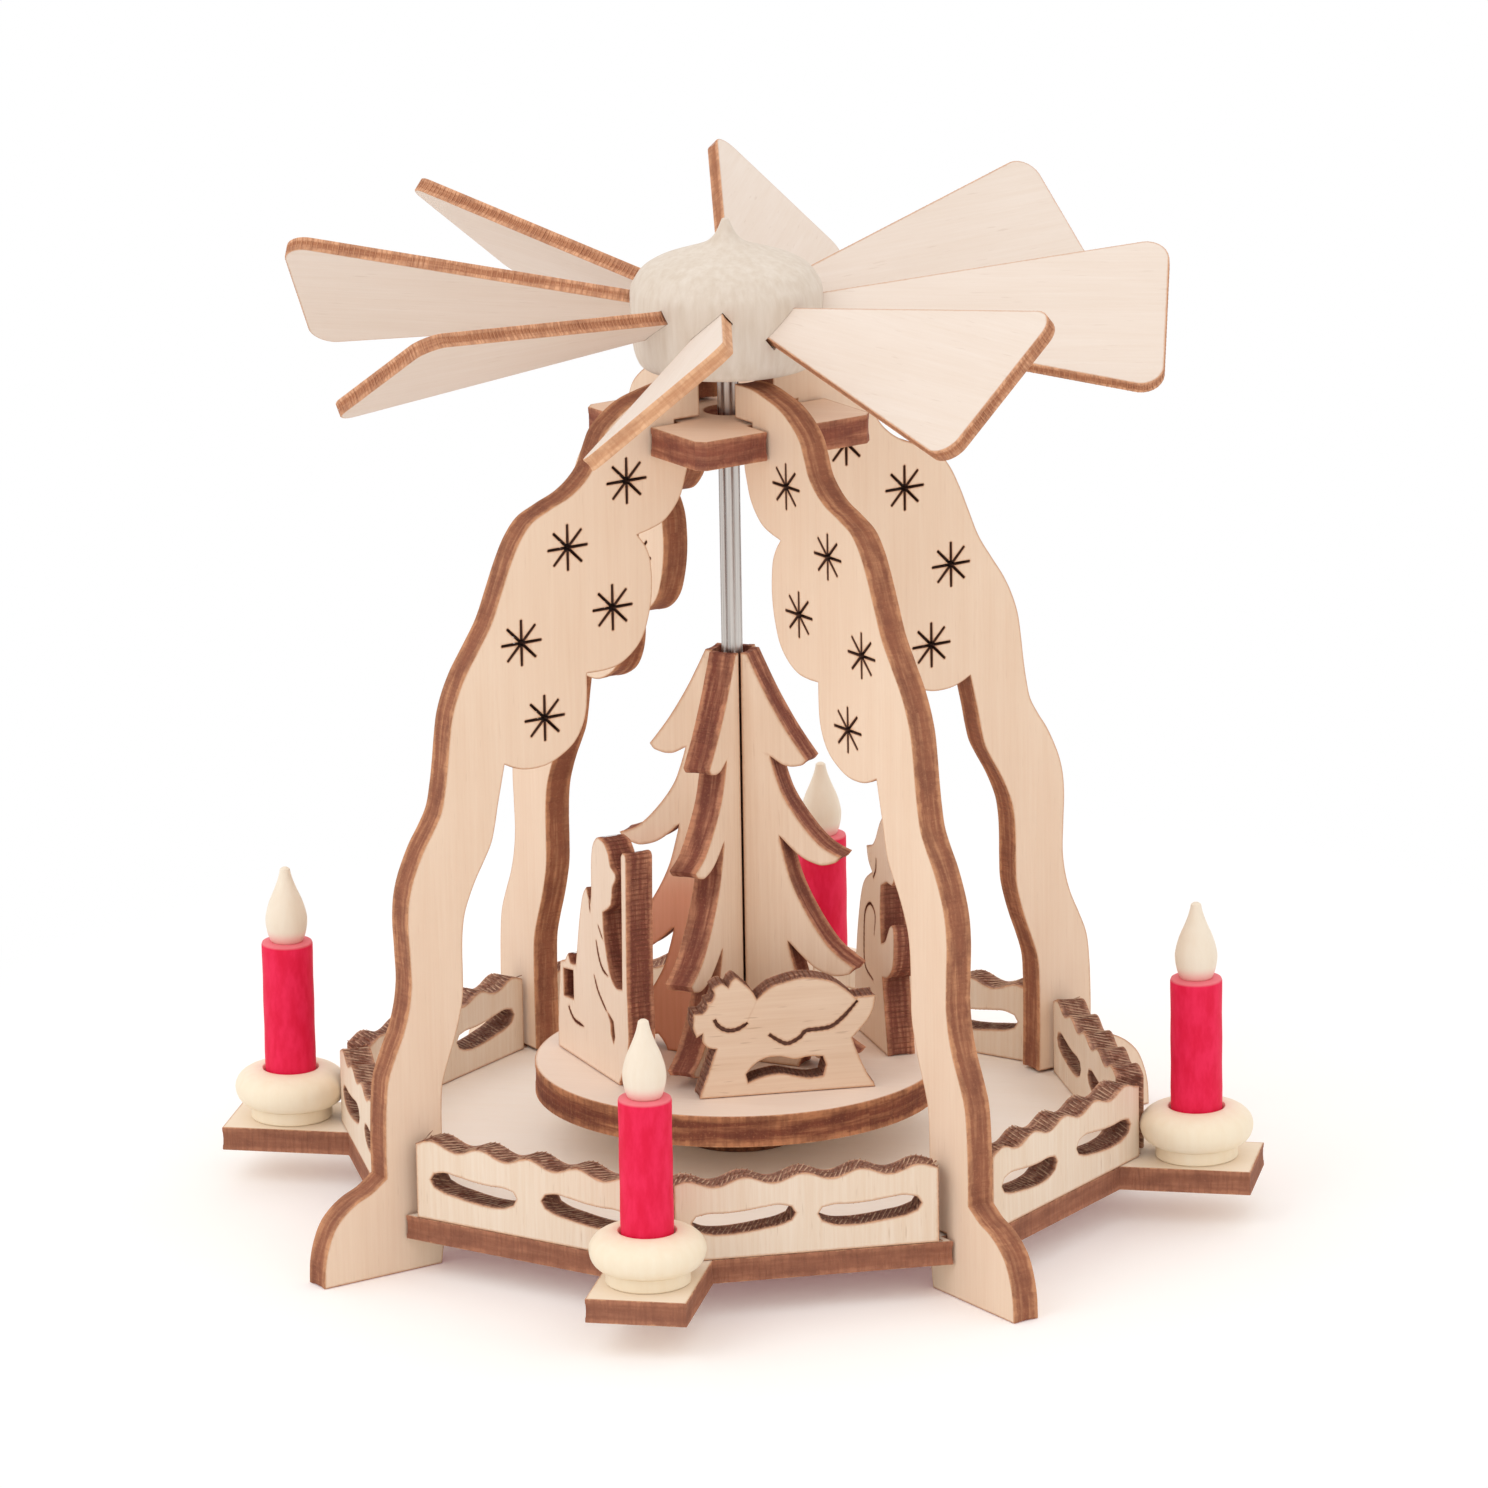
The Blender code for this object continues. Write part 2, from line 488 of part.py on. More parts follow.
def candles(holder_finish, candle_finish, flame_finish):
    """On each tab a turned ring, a red candle in its socket and a flame pegged into the candle."""
    bead_low = HOLDER_FOOT_HEIGHT
    bead_half = (HOLDER_HEIGHT - bead_low) / 2
    socket_r = CANDLE_R + SEAT_GAP
    lip_r = socket_r + CANDLE_EDGE
    bead = []
    for spot in range(9):
        angle = -math.pi / 2 + math.pi * spot / 8
        inner = HOLDER_FOOT_R if angle < 0 else lip_r
        out = inner + (HOLDER_R - inner) * math.cos(angle)
        bead.append((out, bead_low + bead_half * (1 + math.sin(angle))))
    floor = HOLDER_HEIGHT - HOLDER_SOCKET
    holder = [(0, 0), (HOLDER_FOOT_R, 0), *bead, (socket_r, HOLDER_HEIGHT), (socket_r, floor), (0, floor)]
    bore_r = PEG_R + SEAT_GAP
    bore_floor = CANDLE_LENGTH - PEG_LENGTH - SEAT_GAP
    candle = [(0, 0), (CANDLE_R, 0), (CANDLE_R, CANDLE_LENGTH - CANDLE_EDGE),
              (CANDLE_R - CANDLE_EDGE, CANDLE_LENGTH), (bore_r, CANDLE_LENGTH),
              (bore_r, bore_floor), (0, bore_floor)]
    belly = [(FLAME_FOOT_R, 0), (FLAME_R * 0.97, FLAME_BELLY * 0.5), (FLAME_R, FLAME_BELLY)]
    taper = FLAME_LENGTH - FLAME_BELLY
    for spot in range(1, 6):
        share = spot / 5
        narrow = FLAME_R + (FLAME_TIP_R - FLAME_R) * (1 - (1 - share) ** 1.6) ** 1.25
        belly.append((narrow, FLAME_BELLY + taper * share))
    flame = [(0, -PEG_LENGTH), (PEG_R, -PEG_LENGTH), (PEG_R, 0), *belly, (0, FLAME_LENGTH)]
    for name, azimuth in CANDLE_AZIMUTHS.items():
        place = on_plan(azimuth, BASE_CORNER_R + CANDLE_OUT)
        turned("candle_holder_" + name, holder, holder_finish, 24).location = place + Vector((0, 0, HOLDER_Z))
        turned("candle_" + name, candle, candle_finish, 20).location = place + Vector((0, 0, CANDLE_Z))
        flame_z = CANDLE_TOP_Z + SEAT_GAP
        turned("flame_" + name, flame, flame_finish, 16).location = place + Vector((0, 0, flame_z))


def bearing(block_finish, cup_finish):
    """The round block on the base plate and the cup in it that the shaft's point turns in."""
    socket_r = CUP_R + SEAT_GAP
    block = [(0, 0), (BLOCK_R, 0), (BLOCK_R, BLOCK_HEIGHT), (socket_r, BLOCK_HEIGHT),
             (socket_r, BLOCK_FLOOR), (0, BLOCK_FLOOR)]
    turned("bearing_block", block, block_finish, 32).location.z = BLOCK_Z
    bore_r = SHAFT_R + RUNNING_GAP
    cup = [(0, 0), (CUP_R, 0), (CUP_R, CUP_HEIGHT), (bore_r, CUP_HEIGHT),
           (bore_r, CUP_FLOOR + SHAFT_POINT), (0, CUP_FLOOR)]
    turned("pivot_cup", cup, cup_finish, 20).location.z = CUP_Z


def shaft(finish, rotor):
    """The steel rod from its point in the cup up into the hub."""
    length = SHAFT_TOP_Z - SHAFT_TIP_Z
    tip_r = SHAFT_R / 10
    profile = [(0, 0), (tip_r, 0), (SHAFT_R, SHAFT_POINT), (SHAFT_R, length), (0, length)]
    turned("shaft", profile, finish, 20, rotor).location.z = SHAFT_TIP_Z


def turntable(finish, rotor):
    """The round board on the shaft that carries the tree and the figures."""
    hole = disc(SHAFT_R + SEAT_GAP, 20)
    piece = plate("turntable", disc(TURNTABLE_R, DISC_STEPS), TURNTABLE_PLY, finish, [hole], rotor)
    piece.location.z = TURNTABLE_UNDER_Z + TURNTABLE_PLY / 2


def blade_outline():
    """A blade from its tang in the hub out to its two rounded corners."""
    root_half = BLADE_ROOT_WIDTH / 2
    tip_half = BLADE_TIP_WIDTH / 2
    flare = math.atan2(tip_half - root_half, BLADE_REACH - HUB_R)
    sweep = math.pi / 2 + flare
    setback = BLADE_CORNER_R * math.tan(sweep / 2)
    along = (BLADE_REACH - setback * math.cos(flare), tip_half - setback * math.sin(flare))
    centre = (along[0] + BLADE_CORNER_R * math.sin(flare), along[1] - BLADE_CORNER_R * math.cos(flare))
    arc = []
    for spot in range(6):
        angle = math.pi / 2 + flare - sweep * spot / 5
        arc.append((
            centre[0] + BLADE_CORNER_R * math.cos(angle),
            centre[1] + BLADE_CORNER_R * math.sin(angle),
        ))
    half = [(HUB_R - BLADE_TANG, root_half), (HUB_R, root_half), *arc]
    return half + [(x, -y) for x, y in half[::-1]]


def hub_and_blades(hub_finish, blade_finish, rotor):
    """The turned hub with a slanted slot for each blade, and the blades in their slots."""
    widest = max(radius for radius, height in HUB_SIDE)
    tallest = HUB_SIDE[-1][1]
    side = [(radius * HUB_R / widest, height * HUB_HEIGHT / tallest) for radius, height in HUB_SIDE]
    bore_r = SHAFT_R + SEAT_GAP
    profile = [(0, HUB_BORE), (bore_r, HUB_BORE), (bore_r, 0), *side, (0, HUB_HEIGHT)]
    hub = turned("hub", profile, hub_finish, 40, rotor)
    hub.location.z = HUB_Z
    slot_start = HUB_R - BLADE_TANG - SEAT_GAP
    slot_end = 2 * HUB_R
    slot_half = BLADE_ROOT_WIDTH / 2 + SEAT_GAP
    slot = [(slot_start, -slot_half), (slot_end, -slot_half), (slot_end, slot_half), (slot_start, slot_half)]
    for number, (turn, pitch, lift) in enumerate(BLADE_HAND_SET):
        azimuth = math.radians(BLADE_FIRST + number * 360 / len(BLADE_HAND_SET) + turn)
        place = (0, 0, HUB_Z + BLADE_Z)
        tilt = (math.radians(BLADE_PITCH + pitch), -math.radians(lift), azimuth)
        blade = plate(f"blade_{number + 1}", blade_outline(), BLADE_PLY, blade_finish, parent=rotor)
        blade.location = place
        blade.rotation_euler = tilt
        cutter = plate(f"cutter_{number + 1}", slot, BLADE_PLY + 2 * SEAT_GAP, hub_finish, parent=rotor)
        cutter.location = place
        cutter.rotation_euler = tilt
        cutter.hide_render = True
        cutter.display_type = "WIRE"
        cut = hub.modifiers.new(f"slot {number + 1}", "BOOLEAN")
        cut.operation = "DIFFERENCE"
        cut.object = cutter


def tree(finish, rotor):
    """Four half trees that meet round the shaft and stand on the turntable."""
    edge = outline(TREE_RUNS, drawn_scale(TREE_RUNS, TREE_HEIGHT))
    loop = [(TREE_INNER_R, 0), (TREE_INNER_R, TREE_HEIGHT), *edge]
    for name, azimuth in TREE_AZIMUTHS.items():
        piece = plate("tree_" + name, loop, TREE_PLY, finish, parent=rotor)
        stand_up(piece, (0, 0, SCENE_Z), azimuth)


def scene_piece(name, height, runs, cuts, place, finish, rotor):
    """A cut-out that stands on the turntable: its seen face is on the line through its place."""
    azimuth, inset, turn, side, middle = place
    scale = drawn_scale(runs, height)
    holes = [[((x - middle) * scale, y * scale) for x, y in cut] for cut in cuts]
    piece = plate(name, outline(runs, scale, middle), FIGURE_PLY, finish, holes, rotor)
    behind = on_plan(turn + side, FIGURE_PLY / 2)
    stand_up(piece, on_plan(azimuth, TURNTABLE_R - inset, SCENE_Z) + behind, turn)


def main():
    for piece in list(bpy.data.objects):
        bpy.data.objects.remove(piece, do_unlink=True)
    birch = (0.84, 0.70, 0.56)
    turned_wood = (0.85, 0.75, 0.62)
    base_plate(material("base plate plywood", birch, 0.62))
    legs(material("leg plywood", birch, 0.62))
    top_plate(material("top plate plywood", birch, 0.62))
    fences(material("fence plywood", birch, 0.62))
    candles(
        material("turned holder wood", turned_wood, 0.5),
        material("red candle paint", (0.72, 0.03, 0.08), 0.55),
        material("turned flame wood", turned_wood, 0.55),
    )
    bearing(
        material("bearing block plywood", (0.55, 0.36, 0.22), 0.7),
        material("brass cup", (0.75, 0.58, 0.3), 0.3, 1.0),
    )
    rotor = bpy.data.objects.new("rotor_axis", None)
    bpy.context.scene.collection.objects.link(rotor)
    shaft(material("shaft steel", (0.55, 0.55, 0.56), 0.28, 1.0), rotor)
    turntable(material("turntable plywood", birch, 0.62), rotor)
    hub_and_blades(
        material("turned hub wood", (0.74, 0.68, 0.57), 0.75),
        material("blade plywood", (0.88, 0.78, 0.66), 0.62),
        rotor,
    )
    tree(material("tree plywood", birch, 0.62), rotor)
    figure = material("figure plywood", birch, 0.62)
    crib = (MANGER_AZIMUTH, MANGER_INSET, MANGER_TURN, MANGER_BEHIND, MANGER_MIDDLE)
    scene_piece("manger", MANGER_HEIGHT, MANGER_RUNS, [MANGER_SLOT], crib, figure, rotor)
    staff = (STAFF_AZIMUTH, STAFF_INSET, STAFF_TURN, STAFF_BEHIND, STAFF_MIDDLE)
    cuts = [LANTERN_HOLE, ROBE_SLIT]
    scene_piece("figure_with_staff", STAFF_HEIGHT, STAFF_RUNS, cuts, staff, figure, rotor)
    kneeler = (KNEELER_AZIMUTH, KNEELER_INSET, KNEELER_TURN, KNEELER_BEHIND, KNEELER_MIDDLE)
    scene_piece("kneeling_figure", KNEELER_HEIGHT, KNEELER_RUNS, [], kneeler, figure, rotor)


main()
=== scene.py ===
# %% [markdown]
# # Dressing a small plywood Christmas pyramid
#
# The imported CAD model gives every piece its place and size. This lesson keeps that frame and gives each
# piece the surface of the real ornament: birch plywood cut by a laser, turned and painted wood, steel.
# All lengths are in metres, with Z up and the shaft on the Z axis.

# %% Load the frame
import math
from collections import namedtuple

import bmesh
import bpy
import numpy as np
from mathutils import Matrix, Vector, geometry


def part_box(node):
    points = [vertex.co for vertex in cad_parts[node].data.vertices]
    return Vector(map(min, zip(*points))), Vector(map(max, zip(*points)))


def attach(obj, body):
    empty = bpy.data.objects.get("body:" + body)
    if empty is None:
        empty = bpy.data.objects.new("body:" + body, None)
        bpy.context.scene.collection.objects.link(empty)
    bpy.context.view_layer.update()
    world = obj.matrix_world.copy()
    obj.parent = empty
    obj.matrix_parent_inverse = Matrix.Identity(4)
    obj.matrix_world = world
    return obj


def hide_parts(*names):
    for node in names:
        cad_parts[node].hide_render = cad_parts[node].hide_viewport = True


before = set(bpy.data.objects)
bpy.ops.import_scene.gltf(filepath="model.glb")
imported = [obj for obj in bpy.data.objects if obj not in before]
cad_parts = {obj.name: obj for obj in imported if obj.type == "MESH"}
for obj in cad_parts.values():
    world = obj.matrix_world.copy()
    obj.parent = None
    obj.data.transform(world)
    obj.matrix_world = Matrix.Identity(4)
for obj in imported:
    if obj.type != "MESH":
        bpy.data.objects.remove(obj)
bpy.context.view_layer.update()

MM = 0.001
UP = Vector((0, 0, 1))

# %% [markdown]
# ## The camera
#
# The photograph was taken from a little above and to the right, with a long lens from about a metre away.
# The camera could be placed by eye, but the plate's eight corners and the four legs fix it exactly, so its
# place below was worked out from them. The lens shift only puts the picture's middle where the photo has it.

# %% Camera at the photograph's viewing angle
PHOTO_SIDE = 1488
CAMERA_AZIMUTH = 10.922
CAMERA_ELEVATION = math.radians(15.223)
CAMERA_DISTANCE = 0.94028
CAMERA_RIGHT = 0.005224
CAMERA_UP = 0.049639
CAMERA_ROLL = math.radians(-0.864)
CAMERA_FOCAL_PIXELS = 9076.24
PICTURE_MIDDLE = (784.04, 733.78)
SENSOR_WIDTH = 36


def add_object(name, data):
    """A new object for the data, in the scene."""
    made = bpy.data.objects.new(name, data)
    bpy.context.scene.collection.objects.link(made)
    return made


def way_of(azimuth):
    """A level direction at an azimuth in degrees."""
    return Vector((math.cos(math.radians(azimuth)), math.sin(math.radians(azimuth)), 0))


right = way_of(CAMERA_AZIMUTH)
away = way_of(CAMERA_AZIMUTH - 90) * math.cos(CAMERA_ELEVATION) + UP * math.sin(CAMERA_ELEVATION)
up = right.cross(-away)
rolled_right = right * math.cos(CAMERA_ROLL) + up * math.sin(CAMERA_ROLL)
rolled_up = up * math.cos(CAMERA_ROLL) - right * math.sin(CAMERA_ROLL)

lens = bpy.data.cameras.new("studio lens")
camera = add_object("studio camera", lens)
camera.matrix_world = Matrix((rolled_right, rolled_up, away)).transposed().to_4x4()
camera.location = away * CAMERA_DISTANCE + right * CAMERA_RIGHT + UP * CAMERA_UP
lens.sensor_width = SENSOR_WIDTH
lens.lens = CAMERA_FOCAL_PIXELS * SENSOR_WIDTH / PHOTO_SIDE
lens.shift_x = (PHOTO_SIDE / 2 - PICTURE_MIDDLE[0]) / PHOTO_SIDE
lens.shift_y = (PICTURE_MIDDLE[1] - PHOTO_SIDE / 2) / PHOTO_SIDE
lens.clip_start, lens.clip_end = 0.01, 20
bpy.context.scene.camera = camera
bpy.context.scene.view_settings.view_transform = "Standard"
print("camera: lens", round(lens.lens, 1), "mm, shift", round(lens.shift_x, 4), round(lens.shift_y, 4))

# %% [markdown]
# ## Short ways to wire nodes
#
# Each material below is a handful of nodes. Making and linking them one call at a time is long to read. A
# small class stands for a node's output instead, and arithmetic on it adds Math nodes, so that a sum in
# the text is the same sum in the tree. Colours are three numbers, because nothing here is see-through.

# %% A wire and its arithmetic
class Wire:
    """A node's output. A sum with it adds the node that works it out."""

    def __init__(self, socket):
        self.socket, self.tree = socket, socket.id_data

    def __add__(self, other):
        return calc("ADD", self, other)

    def __sub__(self, other):
        return calc("SUBTRACT", self, other)

    def __rsub__(self, other):
        return calc("SUBTRACT", other, self)

    def __mul__(self, other):
        return calc("MULTIPLY", self, other)

    def __truediv__(self, other):
        return calc("DIVIDE", self, other)


def feed(made, values):
    """Set a node's inputs to plain values, or link them to wires."""
    for key, value in values.items():
        socket = made.inputs[key]
        if isinstance(value, Wire):
            made.id_data.links.new(value.socket, socket)
        else:
            socket.default_value = (*value, 1) if socket.type == "RGBA" else value


def node(tree, kind, feeds=None, **settings):
    """Add a node, set its options and feed its inputs."""
    made = tree.nodes.new(kind)
    for key, value in settings.items():
        setattr(made, key, value)
    feed(made, feeds or {})
    return made


def wire(tree, kind, output, feeds=None, **settings):
    """One output of a new node."""
    return Wire(node(tree, kind, feeds, **settings).outputs[output])


def calc(operation, *values, clamp=False):
    """The result of one arithmetic step on wires and numbers."""
    tree = next(value.tree for value in values if isinstance(value, Wire))
    return wire(tree, "ShaderNodeMath", 0, dict(enumerate(values)), operation=operation, use_clamp=clamp)


print("wires can be added, subtracted, multiplied and divided")

# %% [markdown]
# ## Patterns and groups
#
# Wood needs few kinds of pattern: noise, stretched along the fibres, soft steps that cut it into bands or
# spots, and colours laid over each other. An effect that several materials share is made a node group.

# %% Patterns and groups
def mix(share, first, second, blend="MIX"):
    """The second colour laid over the first by a share from 0 to 1."""
    tree = next(value.tree for value in (share, first, second) if isinstance(value, Wire))
    return wire(tree, "ShaderNodeMix", 2, {0: share, 6: first, 7: second}, data_type="RGBA", blend_type=blend)


def fade(value, start, end):
    """A soft step from 0 at the start to 1 at the end."""
    feeds = {"Value": value, "From Min": start, "From Max": end}
    return wire(value.tree, "ShaderNodeMapRange", "Result", feeds, interpolation_type="SMOOTHSTEP")


def stretched(vector, factors):
    """Coordinates scaled along each axis."""
    return wire(vector.tree, "ShaderNodeVectorMath", 0, {0: vector, 1: factors}, operation="MULTIPLY")


def length(vector):
    """The length of a vector."""
    return wire(vector.tree, "ShaderNodeVectorMath", "Value", {0: vector}, operation="LENGTH")


def axis(vector, name):
    """One coordinate of a vector."""
    return wire(vector.tree, "ShaderNodeSeparateXYZ", name, {0: vector})


def noise(vector, scale, detail=2.0, roughness=0.5):
    """Soft random variation between about 0.2 and 0.8. Three scales stretch it along the axes."""
    if isinstance(scale, tuple):
        vector, scale = stretched(vector, scale), 1.0
    feeds = {"Vector": vector, "Scale": scale, "Detail": detail, "Roughness": roughness}
    return wire(vector.tree, "ShaderNodeTexNoise", "Fac", feeds)


def group(name, takes, gives, kind="ShaderNodeTree"):
    """A node group with named inputs and outputs: its tree, its inputs as wires, and its output node."""
    tree = bpy.data.node_groups.new(name, kind)
    for direction, sockets in (("INPUT", takes), ("OUTPUT", gives)):
        for socket_kind, labels in sockets.items():
            for label in labels:
                tree.interface.new_socket(label, in_out=direction, socket_type="NodeSocket" + socket_kind)
    entry = tree.nodes.new("NodeGroupInput")
    take = {label: Wire(entry.outputs[label]) for labels in takes.values() for label in labels}
    return tree, take, tree.nodes.new("NodeGroupOutput")


def use(made, feeds):
    """Place a group in a material with its own values, and give its outputs as wires."""
    placed = node(feeds["Coordinates"].tree, "ShaderNodeGroup", feeds, node_tree=made)
    return {socket.name: Wire(socket) for socket in placed.outputs}


print("patterns: noise, fade and mix")

# %% [markdown]
# ## Birch face
#
# The faces of the boards are pale birch veneer: almost even cream, with fine darker fibres in one
# direction, slow changes of tone, and a few short brown flecks. One noise for each does that, and all but
# the slow one are stretched along the fibres. The coordinates are the board's own, in millimetres, with X
# along the grain.

# %% Effect: birch grain
birch_grain, take, give = group(
    "birch grain",
    {"Vector": ["Coordinates"], "Color": ["Light", "Dark"], "Float": ["Grain", "Blotch", "Flecks"]},
    {"Color": ["Color"], "Float": ["Height"]})
spot = take["Coordinates"]
fibres = noise(spot, (0.10, 2.6, 1), 5.0, 0.62)
bands = noise(spot, (0.022, 0.42, 1), 3.0)
clouds = noise(spot, 0.075)
flecks = fade(noise(spot, (0.30, 3.4, 1), 1.0), 0.66, 0.78) * take["Flecks"]
lines = ((fibres - 0.5) * 2.6 + (bands - 0.5) * 2.0) * take["Grain"]
share = calc("ADD", lines + (clouds - 0.5) * take["Blotch"], 0.35, clamp=True)
veneer = mix(share, take["Light"], take["Dark"])
darker = mix(1.0, take["Dark"], (0.62, 0.52, 0.45), "MULTIPLY")
feed(give, {"Color": mix(flecks, veneer, darker), "Height": fibres - flecks})
print("effect:", birch_grain.name)

# %% [markdown]
# ## Scorch beside the cuts
#
# The laser leaves a thin orange halo on the face, darkest at the cut. The boards built below carry their
# distance from the nearest cut at every vertex, so the halo follows each outline, star and slot.

# %% Effect: laser halo
laser_halo, take, give = group(
    "laser halo",
    {"Vector": ["Coordinates"], "Color": ["Color", "Scorch"], "Float": ["Distance", "Reach", "Strength"]},
    {"Color": ["Color"]})
ragged = noise(take["Coordinates"], 1.7, 3.0) * 1.5 + 0.25
near = calc("SUBTRACT", 1.0, take["Distance"] / (take["Reach"] * ragged), clamp=True)
share = calc("MULTIPLY", calc("POWER", near, 1.5), take["Strength"], clamp=True)
feed(give, {"Color": mix(share, take["Color"], take["Scorch"])})
print("effect:", laser_halo.name)

# %% [markdown]
# ## Burnt plywood edge
#
# A cut edge shows three plies. The two outer ones are thin and tan, the middle one is a dark red-brown with
# long fibres and a ragged limit, and the laser's pulses cross all three as faint ticks. Right at the rim
# the wood is only toasted to orange. Each wall's own coordinates are used: X runs along the cut and Y
# through the board, both in millimetres.

# %% Effect: burnt ply edge
burnt_ply, take, give = group(
    "burnt ply edge",
    {"Vector": ["Coordinates"], "Color": ["Core", "Outer", "Char", "Rim"],
     "Float": ["Ply", "Core Share", "Ticks", "Tick Pitch"]},
    {"Color": ["Color"], "Float": ["Height"]})
spot = take["Coordinates"]
along, through = axis(spot, "X"), axis(spot, "Y")
depth = calc("ABSOLUTE", through) / (take["Ply"] * 0.5)
wavy = depth + (noise(spot, (0.9, 0.6, 1), 5.0, 0.7) - 0.5) * 0.60
fibres = noise(spot, (0.10, 1.5, 1), 4.0, 0.65)
core = mix(fade(fibres, 0.44, 0.74), take["Core"], take["Outer"])
plies = mix(fade(wavy, take["Core Share"] - 0.10, take["Core Share"] + 0.14), core, take["Outer"])
patches = noise(spot, (0.22, 0.5, 1), 3.0, 0.6)
patched = mix(fade(patches, 0.40, 0.66) * 0.55, plies, take["Char"])
bars = wire(burnt_ply, "ShaderNodeCombineXYZ", 0, {0: along / take["Tick Pitch"], 1: through * 0.22})
ticks = fade(noise(bars, 1.0, 2.0, 0.6), 0.42, 0.62)
ticked = mix(calc("MULTIPLY", ticks, take["Ticks"], clamp=True), patched, take["Char"])
rough = noise(spot, 3.2, 4.0, 0.7)
specked = mix(fade(rough, 0.52, 0.72) * 0.40, ticked, take["Outer"])
rimmed = mix(fade(wavy, 0.90, 1.10) * 0.65, specked, take["Rim"])
feed(give, {"Color": rimmed, "Height": rough - ticks})
print("effect:", burnt_ply.name)

# %% [markdown]
# ## Materials of the boards
#
# A board has two finishes: its faces and its burnt edges. Every kind of board in the photo has its own
# tone, from the tan legs to the nearly white blades, so one function makes the pair from a few colours.

# %% Tones of the boards
SCORCH = (0.56, 0.27, 0.12)
RIM_ORANGE = (0.82, 0.47, 0.27)
# painted shade: brown laid low on the left half tree's seen side, where the staff figure and the front half tree
# shade it
PAINTED_SHADE_BROWN, PAINTED_SHADE_REACH = (0.94, 0.60, 0.53), (33.0, 43.0)
# partly painted light: the base's rim is darker and yellower than its middle, which is kept pale where the disc
# and blades shade it
RIM_TONE_AND_PAINTED_LIGHT, RIM_TONE_AND_PAINTED_LIGHT_REACH = (0.92, 0.86, 0.77), (37.0, 46.0)

Veneer = namedtuple("Veneer", "light dark upright grain blotch flecks halo")
VENEERS = {
    "leg": Veneer((0.92, 0.75, 0.60), (0.81, 0.595, 0.435), True, 0.30, 0.5, 0.12, 0.20),
    # the base's pale tones are partly painted light for its middle, which the disc and blades shade
    "base": Veneer((0.98, 0.92, 0.86), (0.93, 0.83, 0.73), False, 0.22, 0.8, 0.10, 0.22),
    "top": Veneer((0.94, 0.73, 0.58), (0.82, 0.57, 0.42), False, 0.35, 0.6, 0.10, 0.26),
    "fence": Veneer((0.86, 0.745, 0.625), (0.76, 0.59, 0.435), True, 0.50, 0.5, 0.30, 0.26),
    "turntable": Veneer((0.91, 0.775, 0.68), (0.82, 0.65, 0.535), False, 0.25, 0.6, 0.10, 0.26),
    "blade": Veneer((0.84, 0.755, 0.69), (0.755, 0.635, 0.54), False, 0.32, 0.5, 0.18, 0.20),
    "tree": Veneer((0.92, 0.75, 0.60), (0.79, 0.58, 0.42), True, 0.42, 0.5, 0.16, 0.32),
    "manger": Veneer((0.86, 0.685, 0.535), (0.73, 0.52, 0.365), False, 0.45, 0.5, 0.45, 0.24),
    "figure": Veneer((0.93, 0.78, 0.65), (0.83, 0.64, 0.49), True, 0.35, 0.5, 0.15, 0.28),
}
VENEERS["front_blade"] = VENEERS["blade"]

# the colours of the core, the outer plies and the char
LEG_BURN = (0.32, 0.125, 0.072), (0.56, 0.275, 0.150), (0.190, 0.070, 0.046)
BASE_BURN = (0.32, 0.133, 0.082), (0.43, 0.190, 0.115), (0.210, 0.085, 0.056)
TOP_BURN = (0.29, 0.100, 0.065), (0.50, 0.220, 0.130), (0.160, 0.055, 0.042)
DISC_BURN = (0.24, 0.080, 0.048), (0.56, 0.255, 0.130), (0.130, 0.042, 0.030)
FENCE_BURN = (0.270, 0.130, 0.092), (0.60, 0.345, 0.235), (0.145, 0.068, 0.052)
TREE_BURN = (0.24, 0.078, 0.052), (0.58, 0.270, 0.160), (0.160, 0.052, 0.038)
BLADE_BURN = (0.50, 0.225, 0.120), (0.78, 0.440, 0.270), (0.300, 0.115, 0.065)
# painted light: a paler copy of the blades' burn for the blade at the front, whose edges face the light
PAINTED_LIGHT_BURN = (0.64, 0.340, 0.190), (0.80, 0.490, 0.300), (0.470, 0.220, 0.120)

Edge = namedtuple("Edge", "ply core_share burn ticks pitch")
EDGES = {
    "leg": Edge(3.0, 0.66, LEG_BURN, 0.20, 0.55), "base": Edge(2.5, 0.62, BASE_BURN, 0.35, 0.50),
    "top": Edge(3.0, 0.72, TOP_BURN, 0.25, 0.60), "fence": Edge(3.0, 0.80, FENCE_BURN, 0.50, 0.48),
    "turntable": Edge(3.3, 0.66, DISC_BURN, 0.30, 0.60), "blade": Edge(1.5, 0.45, BLADE_BURN, 0.50, 0.50),
    "front_blade": Edge(1.5, 0.40, PAINTED_LIGHT_BURN, 0.30, 0.60), "tree": Edge(3.0, 0.64, TREE_BURN, 0.25, 0.50),
    "manger": Edge(3.0, 0.80, FENCE_BURN, 0.50, 0.50), "figure": Edge(3.0, 0.72, TREE_BURN, 0.35, 0.45),
}
print("tones for", len(VENEERS), "kinds of board")

# %% [markdown]
# ## From tones to materials
#
# Each material is a Principled shader that reads the board's own map, where the faces lie flat and the
# walls are unrolled. The relief of fibres and char is only hundredths of a millimetre deep, too fine for
# a mesh, so it is a bump.

# %% Board materials
FACE_RELIEF, EDGE_RELIEF = 0.02 * MM, 0.04 * MM


